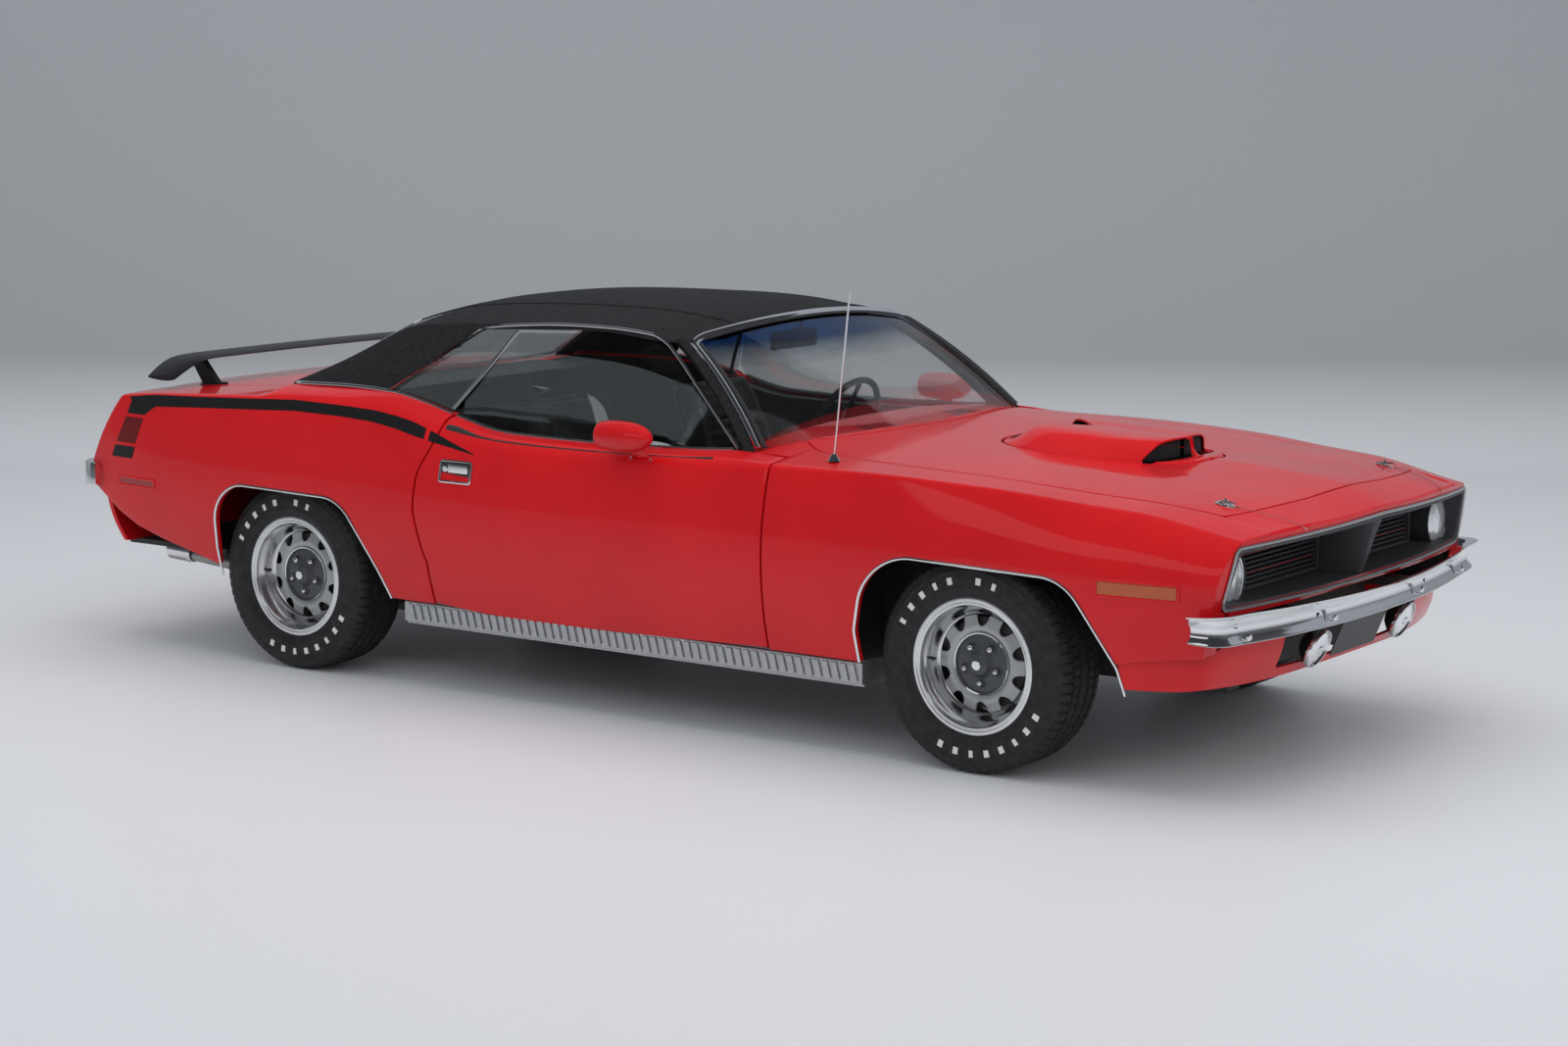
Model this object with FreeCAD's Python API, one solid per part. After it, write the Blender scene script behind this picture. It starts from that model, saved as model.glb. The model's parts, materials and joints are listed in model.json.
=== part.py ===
import FreeCAD, Part
import math
import os

V = FreeCAD.Vector

# Driving dimensions, in millimetres and degrees.
# X runs forward, Y to the car's left, Z up from the ground, X = 0 halfway along the car.
wheelbase = 2743.0
front_axle_x = 1428.7
tyre_radius = 326.0
tyre_width = 232.0
rim_bead_radius = 190.0
trim_ring_radius = 208.0
rim_width = 198.0
front_wheel_y = 765.0
rear_wheel_y = 772.0
kingpin_y = 700.0
kingpin_radius = 14.0
spindle_radius = 18.0
running_gap = 0.4
seat_gap = 0.3
panel_gap = 6.0
jamb_gap = 8.0                  # behind a door, measured along the car
skin = 18.0                     # a fender or quarter panel with its hem
sheet = 22.0                    # hood and deck lid with their inner frames
roof_wall = 28.0
glass = 6.0
door_inner_y = 745.0
door_hem = 24.0
door_inset = 16.0
jamb_taper = 14.0               # the door's rear top edge leans forward inwards, to swing clear
sill_top = 300.0
sill_bottom = 228.0
sill_inner_y = 735.0
fender_foot = 430.0             # lower edge of the fenders ahead of the front arches
beam_top = 262.0                # the front beam, which the engine stands on
rib_pitch = 33.0
rib_width = 21.0
rib_depth = 6.0
arch_lip_height = 638.0
slot_count = 10
nut_count = 5
nut_circle = 114.3
fin_width = 46.0
lamp_radius = 90.0
lamp_y = 719.0
lamp_z = 643.0
road_lamp_radius = 63.5
road_lamp_station = 851.0
road_lamp_y = 297.0
road_lamp_z = 386.0
apron_tilt = 22.0               # how far the apron, its lamps and its plate face down
bumper_height = 92.0
iron_z = 472.0
bumper_wall = 26.0
scoop_length = 700.0
scoop_width = 500.0
scoop_rise = 63.0
scoop_gap = 12.0
scoop_station = -20.0
wing_chord = 170.0
wing_thick = 26.0
wing_half_span = 776.0
wing_rise = 98.0
apron_y = 455.0
rail_wall = 15.0
floor_z = 212.0
floor_wall = 18.0
tunnel_width = 300.0
tunnel_rise = 190.0
engine_half_width = 255.0
engine_top = 690.0
plate_width = 305.0
plate_height = 152.0
plate_hole_spacing = 178.0
plate_hole_radius = 3.5
steering_wheel_radius = 190.0

rear_axle_x = front_axle_x - wheelbase
hub_z = tyre_radius

shapes = {}


def X(station):
    """Row x of a station, which is drawn ahead (+) or behind (-) of the front axle."""
    drawn = 2743.0              # the wheelbase that the body lines below are drawn on
    if station >= 0:
        return front_axle_x + station
    if station > -drawn:
        return front_axle_x + station * wheelbase / drawn
    return rear_axle_x + station + drawn


def curve(*points):
    """A smooth line through (station, value) points, straight on beyond its ends."""
    points = sorted(points)
    xs = [p[0] for p in points]
    ys = [p[1] for p in points]
    last = len(xs) - 1
    slopes = []
    for i in range(last + 1):
        a, b = max(i - 1, 0), min(i + 1, last)
        slopes.append((ys[b] - ys[a]) / (xs[b] - xs[a]))

    def value(x):
        if x <= xs[0]:
            return ys[0] + slopes[0] * (x - xs[0])
        if x >= xs[last]:
            return ys[last] + slopes[last] * (x - xs[last])
        i = max(k for k in range(last) if xs[k] <= x)
        h = xs[i + 1] - xs[i]
        t = (x - xs[i]) / h
        return ((2 * t**3 - 3 * t**2 + 1) * ys[i] + (t**3 - 2 * t**2 + t) * h * slopes[i]
                + (3 * t**2 - 2 * t**3) * ys[i + 1] + (t**3 - t**2) * h * slopes[i + 1])
    return value


# Character lines of the body: half widths and heights by station.
waist_y = curve((905, 826), (740, 860), (500, 894), (200, 916), (0, 924), (-300, 932),
                (-720, 938), (-1300, 941), (-2000, 946), (-2743, 951), (-3200, 936),
                (-3500, 908), (-3700, 874), (-3790, 852))
waist_z = curve((905, 640), (0, 610), (-1300, 590), (-2743, 620), (-3790, 640))
foot_y = curve((905, 800), (526, 868), (0, 886), (-380, 892), (-2220, 892), (-3100, 886),
               (-3790, 846))
shoulder_y = curve((905, 772), (743, 780), (529, 803), (316, 826), (18, 858), (-319, 877),
                   (-722, 890), (-1300, 896), (-1900, 896), (-2400, 893), (-2900, 888),
                   (-3300, 878), (-3576, 866), (-3790, 842))
shoulder_z = curve((905, 748), (817, 764), (743, 778), (629, 803), (528, 821), (316, 838),
                   (170, 852), (18, 863), (-319, 875), (-722, 874), (-1077, 868),
                   (-1470, 862), (-1797, 866), (-2029, 885), (-2176, 905), (-2353, 932),
                   (-2488, 944), (-2717, 949), (-3194, 927), (-3447, 913), (-3576, 901),
                   (-3790, 880))
centre_z = curve((905, 772), (785, 827), (500, 861), (308, 873), (0, 890), (-380, 906),
                 (-650, 922), (-860, 940), (-2860, 958), (-3200, 942), (-3500, 922),
                 (-3700, 905))
belt_y = curve((-760, 788), (-905, 792), (-1104, 805), (-1493, 812), (-2050, 815),
               (-2340, 806), (-2716, 792), (-2820, 788))
belt_z = curve((-760, 904), (-905, 897), (-1104, 886), (-1493, 879), (-1797, 883),
               (-1902, 893), (-2050, 928), (-2200, 964), (-2340, 985), (-2716, 983),
               (-2820, 981))
rail_y = curve((-1179, 640), (-1329, 637), (-1546, 640), (-1789, 645), (-2086, 651),
               (-2250, 655), (-2400, 657), (-2520, 672), (-2640, 702), (-2800, 762))
rail_z = curve((-1179, 1188), (-1240, 1200), (-1329, 1213), (-1389, 1224), (-1546, 1234),
               (-1789, 1232), (-2039, 1220), (-2250, 1208), (-2400, 1188), (-2520, 1132),
               (-2640, 1070), (-2800, 996))
roof_z = curve((-1150, 1254), (-1179, 1261), (-1300, 1283), (-1550, 1301), (-1850, 1303),
               (-2100, 1295), (-2300, 1275), (-2430, 1250), (-2600, 1152), (-2860, 962))
hood_edge = curve((690, 636), (500, 672), (110, 712), (-405, 722), (-620, 700), (-700, 664),
                  (-776, 596))
deck_edge = curve((-2880, 596), (-3100, 622), (-3500, 632), (-3650, 628))

crown = 2.6                     # how late the hood and deck fall towards the shoulder
ridge_half = 260.0              # half width of the hood's peak along the centreline
ridge = curve((-100, 0), (150, 4), (374, 11), (740, 11), (905, 9))


def side_y(station, z):
    """Half width of the body side at a height."""
    waist, mid = waist_y(station), waist_z(station)
    if z >= mid:
        t = (z - mid) / (shoulder_z(station) - mid)
        return waist - (waist - shoulder_y(station)) * t * t
    t = (mid - z) / (mid - sill_top)
    return waist - (waist - foot_y(station)) * t * t


def top_z(station, y):
    """Height of the hood and deck level at a half width."""
    t = min(abs(y) / shoulder_y(station), 1.0)
    peak = max(ridge(station), 0) * max(1 - abs(y) / ridge_half, 0) if station > -100 else 0
    return centre_z(station) - (centre_z(station) - shoulder_z(station)) * t ** crown + peak


def spread(a, b, n):
    return [a + (b - a) * i / (n - 1) for i in range(n)]


def clamped(count, degree):
    inner = count - degree - 1
    return [degree + 1] + [1] * inner + [degree + 1], list(range(inner + 2))


def spline_face(rows):
    """A smooth face whose poles are the rows of points."""
    du, dv = min(3, len(rows) - 1), min(3, len(rows[0]) - 1)
    um, uk = clamped(len(rows), du)
    vm, vk = clamped(len(rows[0]), dv)
    face = Part.BSplineSurface()
    face.buildFromPolesMultsKnots(rows, um, vm, uk, vk, False, False, du, dv)
    return face.toShape()


def spline_edge(points):
    degree = min(3, len(points) - 1)
    mults, knots = clamped(len(points), degree)
    edge = Part.BSplineCurve()
    edge.buildFromPolesMultsKnots(points, mults, knots, False, degree)
    return edge.toShape()


def block(sections):
    """A solid skinned over flat-ended sections, each a closed ring of point strips."""
    faces = [spline_face([s[k] for s in sections]) for k in range(len(sections[0]))]
    for section in (sections[0], sections[-1]):
        faces.append(Part.Face(Part.Wire([spline_edge(strip) for strip in section])))
    shell = Part.Shell(faces)
    shell.sewShape()
    solid = Part.Solid(shell)
    if solid.Volume < 0:
        solid.reverse()
    return solid


def arc_corner(before, corner, after, radius):
    """Tangent points and middle of the arc that rounds one corner of an outline."""
    def unit(p):
        dx, dy = p[0] - corner[0], p[1] - corner[1]
        size = math.hypot(dx, dy)
        return dx / size, dy / size
    a, b = unit(before), unit(after)
    half = math.acos(max(-1.0, min(1.0, a[0] * b[0] + a[1] * b[1]))) / 2
    cut = radius / math.tan(half)
    mx, my = a[0] + b[0], a[1] + b[1]
    size = math.hypot(mx, my)
    reach = radius / math.sin(half) - radius
    start = (corner[0] + a[0] * cut, corner[1] + a[1] * cut)
    end = (corner[0] + b[0] * cut, corner[1] + b[1] * cut)
    middle = (corner[0] + mx / size * reach, corner[1] + my / size * reach)
    return start, middle, end


def outline(points, place):
    """A closed wire through (a, b) or (a, b, corner radius) points."""
    edges = []
    ends = []
    for i, p in enumerate(points):
        if len(p) > 2:
            ends.append(arc_corner(points[i - 1], p, points[(i + 1) % len(points)], p[2]))
        else:
            ends.append((p, None, p))
    for i, (start, middle, end) in enumerate(ends):
        if middle:
            edges.append(Part.Arc(place(*start), place(*middle), place(*end)).toShape())
        begin, finish = place(*end[:2]), place(*ends[(i + 1) % len(ends)][0][:2])
        if begin.distanceToPoint(finish) > 1e-4:
            edges.append(Part.makeLine(begin, finish))
    return Part.Wire(edges)


def prism_y(points, low, high):
    """Outline in (row x, z), pushed along Y."""
    wire = outline(points, lambda a, b: V(a, low, b))
    return Part.Face(wire).extrude(V(0, high - low, 0))


def prism_x(points, low, high):
    """Outline in (y, z), pushed along X."""
    wire = outline(points, lambda a, b: V(low, a, b))
    return Part.Face(wire).extrude(V(high - low, 0, 0))


def prism_z(points, low, high):
    """Outline in (row x, y), pushed along Z."""
    wire = outline(points, lambda a, b: V(a, b, low))
    return Part.Face(wire).extrude(V(0, 0, high - low))


def box(x0, x1, y0, y1, z0, z1):
    return Part.makeBox(x1 - x0, y1 - y0, z1 - z0, V(x0, y0, z0))


def rod(a, b, radius):
    a, b = V(*a), V(*b)
    return Part.makeCylinder(radius, (b - a).Length, a, b - a)


def mirrored(shape):
    return shape.mirror(V(0, 0, 0), V(0, 1, 0))


def both(shape):
    return Part.makeCompound([shape, mirrored(shape)])


def keep(name, shape):
    shapes[name] = shape


def strip(points):
    return [V(*p) for p in points]


def largest(shape):
    return max(shape.Solids, key=lambda s: s.Volume)


def seated(shape, target, direction):
    """The shape moved along a direction until it lies seat_gap from the target."""
    for _ in range(4):
        reach = shape.distToShape(target)[0] - seat_gap
        shape.translate(direction * reach)
    return shape


def ring(*corners):
    """A section with straight sides between its corner points."""
    pts = [V(*c) for c in corners]
    return [[pts[i], pts[(i + 1) % len(pts)]] for i in range(len(pts))]


# Left body side


def side_section(station, low, wall, inner_y):
    """Outer side, shoulder strip and inner wall of a left fender or quarter at a station."""
    x = X(station)
    top = shoulder_z(station)
    outer = [(x, side_y(station, z), z) for z in spread(low, top, 9)]
    deck = [(x, y, top_z(station, y)) for y in spread(shoulder_y(station), inner_y, 4)]
    under = [(x, y, top_z(station, y) - wall)
             for y in spread(inner_y, shoulder_y(station) - wall, 4)]
    inner = [(x, side_y(station, z) - wall, z) for z in spread(top - wall, low, 9)]
    under[-1] = inner[0] = (x, side_y(station, top - wall) - wall, under[-1][2])
    return [strip(outer), strip(deck), strip([deck[-1], under[0]]), strip(under), strip(inner),
            strip([inner[-1], outer[0]])]


def side_shell(first, last, count, low, wall, inner):
    return block([side_section(s, low, wall, inner(s)) for s in spread(first, last, count)])


# Wheel arch lips: flat-topped, as drawn round each axle
front_arch = [(front_axle_x + 560, 150), (front_axle_x + 494, 380, 60),
              (front_axle_x + 330, arch_lip_height - 16, 150),
              (front_axle_x - 330, arch_lip_height + 4, 190), (front_axle_x - 386, 400, 60),
              (front_axle_x - 372, 150)]
rear_arch = [(rear_axle_x + 520, 150), (rear_axle_x + 430, 400, 80),
             (rear_axle_x + 290, arch_lip_height - 14, 150),
             (rear_axle_x - 300, arch_lip_height - 2, 150), (rear_axle_x - 322, 400, 60),
             (rear_axle_x - 334, 150)]

door_front = -723.0
door_rear_line = [(-2050, 990), (-2050, 868, 60), (-2118, 740, 160), (-2128, 620, 120),
                  (-2090, 470, 200), (-1990, sill_top - 20)]


def door_outline(shrink):
    front = [(X(door_front) - shrink, sill_top - 20), (X(door_front) - shrink, 990)]
    rear = [(X(p[0]) + shrink,) + tuple(p[1:]) for p in door_rear_line]
    return front + rear


# Front fender: skin with the shoulder strip in to the hood, its arch cut out
def fender_inner(station):
    if station > 690:
        return hood_edge(690) + panel_gap
    return hood_edge(station) + panel_gap - 14


# Front face of the nose: bowed in plan, leaning back to its foot
def nose_x(y, z):
    t = abs(y) / 800.0
    lean = (770.0 - z) / 200.0
    return X(905 - 82 * t * t - (66 - 34 * t) * max(lean, 0.0) ** 1.3 - 20 * max(-lean, 0.0))


def nose_cutter():
    """Everything ahead of the nose's face."""
    rows = []
    for y in spread(0, 1000, 9):
        face = [(nose_x(min(y, 830), z), y, z) for z in spread(380, 900, 7)]
        far = X(1200)
        rows.append([strip(face), strip([face[-1], (far, y, 900)]),
                     strip([(far, y, 900), (far, y, 380)]), strip([(far, y, 380), face[0]])])
    return block(rows)


def make_fenders():
    body = side_shell(870, -716, 22, sill_top, skin, fender_inner)
    body = body.cut(prism_y(front_arch, 300, 1100))
    body = body.cut(box(X(380), X(1200), 300, 1100, 100, fender_foot))
    body = body.cut([nose_cutter(), plan_outline(hood_plan(panel_gap), 600, 1100)])
    keep("fender_left", body)
    keep("fender_right", mirrored(body))


def quarter_inner(station):
    if station > -2860:
        return belt_y(station) - roof_wall
    return deck_edge(station) + panel_gap


def quarter_top(station, y):
    """Height of the strip between the shoulder and the belt or deck gap."""
    if station > -2860:
        inner, high = belt_y(station), belt_z(station)
    else:
        inner, high = deck_edge(station), top_z(station, deck_edge(station))
    out = shoulder_y(station)
    t = min(max((out - y) / (out - inner), 0.0), 1.0)
    return shoulder_z(station) + (high - shoulder_z(station)) * (1 - (1 - t) ** 1.6)


def quarter_section(station, low):
    x = X(station)
    top = shoulder_z(station)
    inner_y = quarter_inner(station)
    outer = [(x, side_y(station, z), z) for z in spread(low, top, 9)]
    deck = [(x, y, quarter_top(station, y)) for y in spread(shoulder_y(station), inner_y, 6)]
    inner_top = shoulder_y(station) - skin
    under = [(x, y, quarter_top(station, y) - skin) for y in spread(inner_y, inner_top, 6)]
    under[-1] = (x, inner_top, top - skin)
    inner = [(x, side_y(station, z) - skin, z) for z in spread(top - skin, low, 9)]
    inner[0] = under[-1]
    return [strip(outer), strip(deck), strip([deck[-1], under[0]]), strip(under), strip(inner),
            strip([inner[-1], outer[0]])]


# Rear edge of the quarters and tail: (station, height) seen from the side
tail_line = [(-3552, 925), (-3630, 834), (-3680, 760), (-3742, 650), (-3716, 560), (-3587, 484),
             (-3483, 437), (-3355, 403), (-3200, 368), (-3050, 330), (-2980, 250)]


def behind_tail():
    points = [(X(s), z) for s, z in tail_line]
    return points + [(X(-2980), 50), (X(-4200), 50), (X(-4200), 1100), (X(-3500), 1100)]


def make_quarters():
    stations = spread(-2000, -2840, 13) + spread(-2880, -3780, 13)
    body = block([quarter_section(s, 292) for s in stations])
    body = body.cut(prism_y(door_outline(-jamb_gap), 300, 1100))
    body = body.cut(prism_y(rear_arch, 300, 1100))
    body = body.cut(prism_y(behind_tail(), 300, 1100))
    body = body.cut(box(X(-2400), X(-1500), 300, 1100, 100, sill_top))
    keep("quarter_left", body)
    keep("quarter_right", mirrored(body))


# Doors: hemmed outer skin, thinner inner box behind it, belt ledge on top


def door_section(station, outer_back, inner_y):
    x = X(station)
    top = shoulder_z(station)
    outer = [(x, side_y(station, z) - outer_back, z) for z in spread(sill_top + panel_gap, top, 9)]
    across = spread(outer[-1][1], belt_y(station), 5)
    deck = [(x, y, quarter_top(station, y) - outer_back * 0.4) for y in across]
    outer[-1] = deck[0]
    inside = [(x, inner_y, deck[-1][2]), (x, inner_y, outer[0][2])]
    return [strip(outer), strip(deck), strip([deck[-1], inside[0]]), strip(inside),
            strip([inside[1], outer[0]])]


def make_door():
    stations = spread(-700, -2160, 16)
    whole = block([door_section(s, 0, door_inner_y) for s in stations])
    skin_part = whole.common(prism_y(door_outline(0), 300, 1100))
    rim = prism_y(door_outline(-200), 300, 1100).cut(prism_y(door_outline(door_inset), 200, 1200))
    back = block([door_section(s, door_hem, door_inner_y - 20) for s in stations])
    door = skin_part.cut(rim.common(back))
    edge = X(door_rear_line[0][0])
    jamb = prism_z([(edge - 1, 897), (edge - 60, 740), (edge - 1 + jamb_taper, 740)], 840, 1000)
    door = door.cut(jamb)
    return largest(door.cut(box(X(-934), X(-700), 700, 801, 850, 1000)))


def mirror_shell():
    """Bullet mirror head on its leaning foot, standing on the door's shoulder."""
    line = Part.BSplineCurve()
    bullet = [(104, 0), (97, 18), (74, 36), (36, 46), (-10, 49), (-55, 47), (-92, 41)]
    line.interpolate([V(x, r, 0) for x, r in bullet])
    ends = [V(-92, 41, 0), V(-92, 0, 0), V(104, 0, 0)]
    edges = [line.toShape(), Part.makeLine(ends[0], ends[1]), Part.makeLine(ends[1], ends[2])]
    head = Part.Face(Part.Wire(edges)).revolve(V(0, 0, 0), V(1, 0, 0), 360)
    head.translate(V(X(-1243), 938, 926))
    foot = block([ring((X(-1163), 866, 850), (X(-1163), 886, 850),
                       (X(-1277), 886, 850), (X(-1277), 866, 850)),
                  ring((X(-1205), 918, 905), (X(-1205), 936, 905),
                       (X(-1262), 936, 905), (X(-1262), 918, 905))])
    return head.fuse(foot)


def glass_section(station, low, high):
    """Ring of one station of side glass, which leans in from the belt to the rail."""
    x = X(station)
    rows = []
    for back in (0, glass):
        line = []
        for t in spread(low, high, 4):
            y = belt_y(station) - 12 + (rail_y(station) - belt_y(station) + 2) * t
            z = belt_z(station) + (rail_z(station) - belt_z(station)) * t
            line.append((x, y - back + 10 * math.sin(math.pi * min(max(t, 0), 1)), z))
        rows.append(line)
    front, rear = rows[0], rows[1][::-1]
    return [strip(front), strip([front[-1], rear[0]]), strip(rear), strip([rear[-1], front[0]])]


door_glass_outline = [(-925, 880), (-925, 893), (-1100, 1022), (-1292, 1172), (-1348, 1192),
                      (-1540, 1210, 900), (-1905, 1197), (-2042, 974), (-2034, 936), (-2034, 850)]
quarter_glass_outline = [(-1914, 1206), (-2090, 1206), (-2380, 990), (-2380, 940), (-2106, 892)]


def make_side_glass():
    sheet_glass = block([glass_section(s, -0.12, 1.0) for s in spread(-905, -2400, 16)])
    door_edge = [(X(p[0]),) + p[1:] for p in door_glass_outline]
    door_pane = sheet_glass.common(prism_y(door_edge, 300, 1100))
    quarter_edge = [(X(p[0]),) + p[1:] for p in quarter_glass_outline]
    pane = sheet_glass.common(prism_y(quarter_edge, 300, 1100))
    pane = largest(pane.cut([shapes["quarter_left"], shapes["roof"]]))
    return largest(door_pane.cut(shapes["door_left"])), pane


# Roof with its rear sails and windshield posts


def roof_section(station):
    x = X(station)
    by, bz = belt_y(station), belt_z(station) + seat_gap
    ry, rz = rail_y(station), max(rail_z(station), bz + 12)
    zc = max(roof_z(station), rz + 2)
    side = [(x, by + (ry - by) * t + 8 * math.sin(math.pi * t), bz + (rz - bz) * t)
            for t in (0, 0.34, 0.67, 1)]
    top = [(x, y, zc - (zc - rz) * abs(y / ry) ** 2.2) for y in spread(ry, -ry, 11)]
    far = [(a, -b, c) for a, b, c in side[::-1]]
    w = roof_wall
    side_in = [(x, p[1] - w, p[2] if i == 0 else p[2] - w * 0.4 * i / 3)
               for i, p in enumerate(side)]
    top_in = [(x, y * (ry - w) / ry, z - w) for _, y, z in top]
    side_in[-1] = top_in[0]
    far_in = [(a, -b, c) for a, b, c in side_in[::-1]]
    return [strip(side), strip(top), strip(far), strip([far[-1], far_in[-1]]),
            strip(far_in[::-1]), strip(top_in[::-1]), strip(side_in[::-1]),
            strip([side_in[0], side[0]])]


side_window = [(-1100, 860), (-1060, 1195), (-1330, 1200, 60), (-1560, 1222, 1200),
               (-2078, 1200, 20), (-2372, 984, 10), (-2060, 860)]
backlight_plan = [(-2425, 562, 60), (-2425, -562, 60), (-2850, -640), (-3000, -640),
                  (-3000, 640), (-2850, 640)]


def windshield_base(u):
    return X(-695 - 158 * u * u), 788 * u, 933 - 33 * u * u


def windshield_head(u):
    return X(-1179 - 50 * u * u), 627 * u, 1261 - 54 * u * u


def windshield_point(u, v, proud):
    a, b = windshield_base(u), windshield_head(u)
    out = 20 * 4 * v * (1 - v) + proud
    return (a[0] + (b[0] - a[0]) * v + 0.55 * out, a[1] + (b[1] - a[1]) * v,
            a[2] + (b[2] - a[2]) * v + 0.83 * out)


def backlight_point(u, v, proud):
    """u across, v from the deck up to the roof."""
    low = (X(-2868 + 60 * u * u), 640 * u, 964 + 14 * u * u)
    high = (X(-2424 + 6 * u * u), 560 * u, 1246 - 42 * u * u)
    out = 10 * 4 * v * (1 - v) + proud
    return (low[0] + (high[0] - low[0]) * v - 0.55 * out, low[1] + (high[1] - low[1]) * v,
            low[2] + (high[2] - low[2]) * v + 0.83 * out)


def glass_pane(point, low, high, half, back, thick):
    sections = []
    for u in spread(-half, half, 11):
        front = [point(u, v, -back) for v in spread(low, high, 5)]
        rear = [point(u, v, -back - thick) for v in spread(high, low, 5)]
        sections.append([strip(front), strip([front[-1], rear[0]]), strip(rear),
                         strip([rear[-1], front[0]])])
    return block(sections)


def post(side):
    """Windshield post from the cowl to the roof's corner."""
    sections = []
    for v in spread(-0.03, 1.0, 8):
        x, y, z = windshield_point(1.0, v, 0)
        wide = 44 - 10 * v
        lean = 5 * v
        sections.append(ring((x, y, z), (x - 44, y + lean, z + 6), (x - 62, y + lean - wide, z - 24),
                             (x - 18, y - wide, z - 30)))
    solid = block(sections)
    return solid if side > 0 else mirrored(solid)


def make_roof():
    body = block([roof_section(s) for s in spread(-1150, -2430, 20) + spread(-2480, -2810, 7)])
    cut_points = [(X(p[0]),) + tuple(p[1:]) for p in side_window]
    body = body.cut(prism_y(cut_points, -1100, 1100))
    body = body.cut(box(X(-1150) - 40, X(-1000), -1100, 1100, 800, 1150))
    head = [windshield_head(u) for u in spread(-1.06, 1.06, 9)]
    front = Part.BSplineCurve()
    front.interpolate([V(x, y, 800) for x, y, _ in head])
    corners = [V(head[-1][0], head[-1][1], 800), V(X(-1000), head[-1][1], 800),
               V(X(-1000), head[0][1], 800), V(head[0][0], head[0][1], 800)]
    edges = [front.toShape()] + [Part.makeLine(a, b) for a, b in zip(corners, corners[1:])]
    body = body.cut(Part.Face(Part.Wire(edges)).extrude(V(0, 0, 600)))
    body = body.cut(prism_z([(X(p[0]),) + tuple(p[1:]) for p in backlight_plan], 940, 1400))
    body = body.fuse(post(1)).fuse(post(-1)).cut(cowl_level())
    keep("roof", body)


# Hood and deck lid


def lid_block(stations, half, wall):
    sections = []
    for s in stations:
        x = X(s)
        top = [(x, y, top_z(s, y)) for y in spread(half, -half, 11)]
        under = [(x, y, z - wall) for _, y, z in top[::-1]]
        sections.append([strip(top), strip([top[-1], under[0]]), strip(under),
                         strip([under[-1], top[0]])])
    return block(sections)


def plan_outline(left_points, low, high):
    """A plan shape symmetric about the centreline, from its left side's (x, y) points."""
    right = [(x, -y) for x, y in left_points[::-1]]
    return prism_z(left_points + right, low, high)


hood_front = curve((0, 785), (300, 771), (520, 738), (640, 700))
hood_rear = curve((0, -668), (300, -692), (500, -737), (596, -776))


def offset_line(points, grow):
    """An open (x, y) line moved sideways by an even gap, to the left of its direction."""
    normals = []
    for (ax, ay), (bx, by) in zip(points, points[1:]):
        size = math.hypot(bx - ax, by - ay)
        normals.append(((ay - by) / size, (bx - ax) / size))
    moved = []
    for i, (x, y) in enumerate(points):
        a, b = normals[max(i - 1, 0)], normals[min(i, len(normals) - 1)]
        share = grow / (1 + a[0] * b[0] + a[1] * b[1])
        moved.append((x + (a[0] + b[0]) * share, y + (a[1] + b[1]) * share))
    return moved


def hood_plan(grow):
    """Left half of the hood's plan, from the front centre to the rear centre."""
    front = [(X(hood_front(y)), y) for y in spread(1, 632, 7)]
    side = [(X(s), hood_edge(s)) for s in spread(690, -700, 12)]
    rear = [(X(hood_rear(y)), y) for y in spread(600, 1, 6)]
    line = offset_line(front + side + rear, -grow)
    line[0] = (line[0][0], 1)
    line[-1] = (line[-1][0], 1)
    return line


def scoop_ring(grow, z):
    """Closed wire of the scoop's plan, a little wider at its tail, grown or shrunk evenly."""
    a, b = scoop_length / 2 + grow, scoop_width / 2 + grow
    points = []
    for k in range(24):
        angle = 2 * math.pi * k / 24
        c, s = math.cos(angle), math.sin(angle)
        reach = (abs(c) ** 2.6 + abs(s) ** 2.6) ** (-1 / 2.6)
        points.append(V(X(scoop_station) + a * c * reach, b * s * reach * (1 - 0.07 * c), z))
    line = Part.BSplineCurve()
    line.interpolate(points, PeriodicFlag=True)
    return Part.Wire([line.toShape()])


def make_hood():
    body = lid_block(spread(820, -820, 20), 760, sheet)
    body = body.common(plan_outline(hood_plan(0), 600, 1100))
    body = body.cut(Part.Face(scoop_ring(scoop_gap, 500)).extrude(V(0, 0, 700)))
    keep("hood", body)


def make_scoop():
    """Engine-mounted scoop: bubble with two nostrils and a rear outlet, on the round air cleaner."""
    level = top_z(scoop_station, 0)
    base = level - 30
    skirt = [(0, base), (-1, level - 12), (-5, level + 2), (-18, level + 15), (-46, level + 38),
             (-74, level + scoop_rise - 8), (-106, level + scoop_rise)]
    dome = Part.makeLoft([scoop_ring(shrink, z) for shrink, z in skirt], True, False)
    slope = (top_z(scoop_station + 300, 0) - top_z(scoop_station - 300, 0)) / 600
    lean = -math.degrees(math.atan(slope))
    cuts = []
    for side in (1, -1):
        plan = [(X(150), side * 16), (X(420), side * 16), (X(420), side * 330), (X(232), side * 226),
                (X(100), side * 190)]
        cuts.append(prism_z(plan, level + 7, level + 44))
    outlet = [(X(-100), 0), (X(-262), 148), (X(-338), 104, 30), (X(-338), -104, 30), (X(-262), -148)]
    cuts.append(prism_z(outlet, level - 6, level + 150))
    dome = dome.cut(cuts)
    dome.rotate(V(X(scoop_station), 0, base), V(0, 1, 0), lean)
    seat = engine_top + seat_gap
    cleaner = Part.makeCylinder(205, base - seat + 12, V(X(scoop_station), 0, seat))
    keep("scoop", dome.fuse(cleaner))


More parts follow.
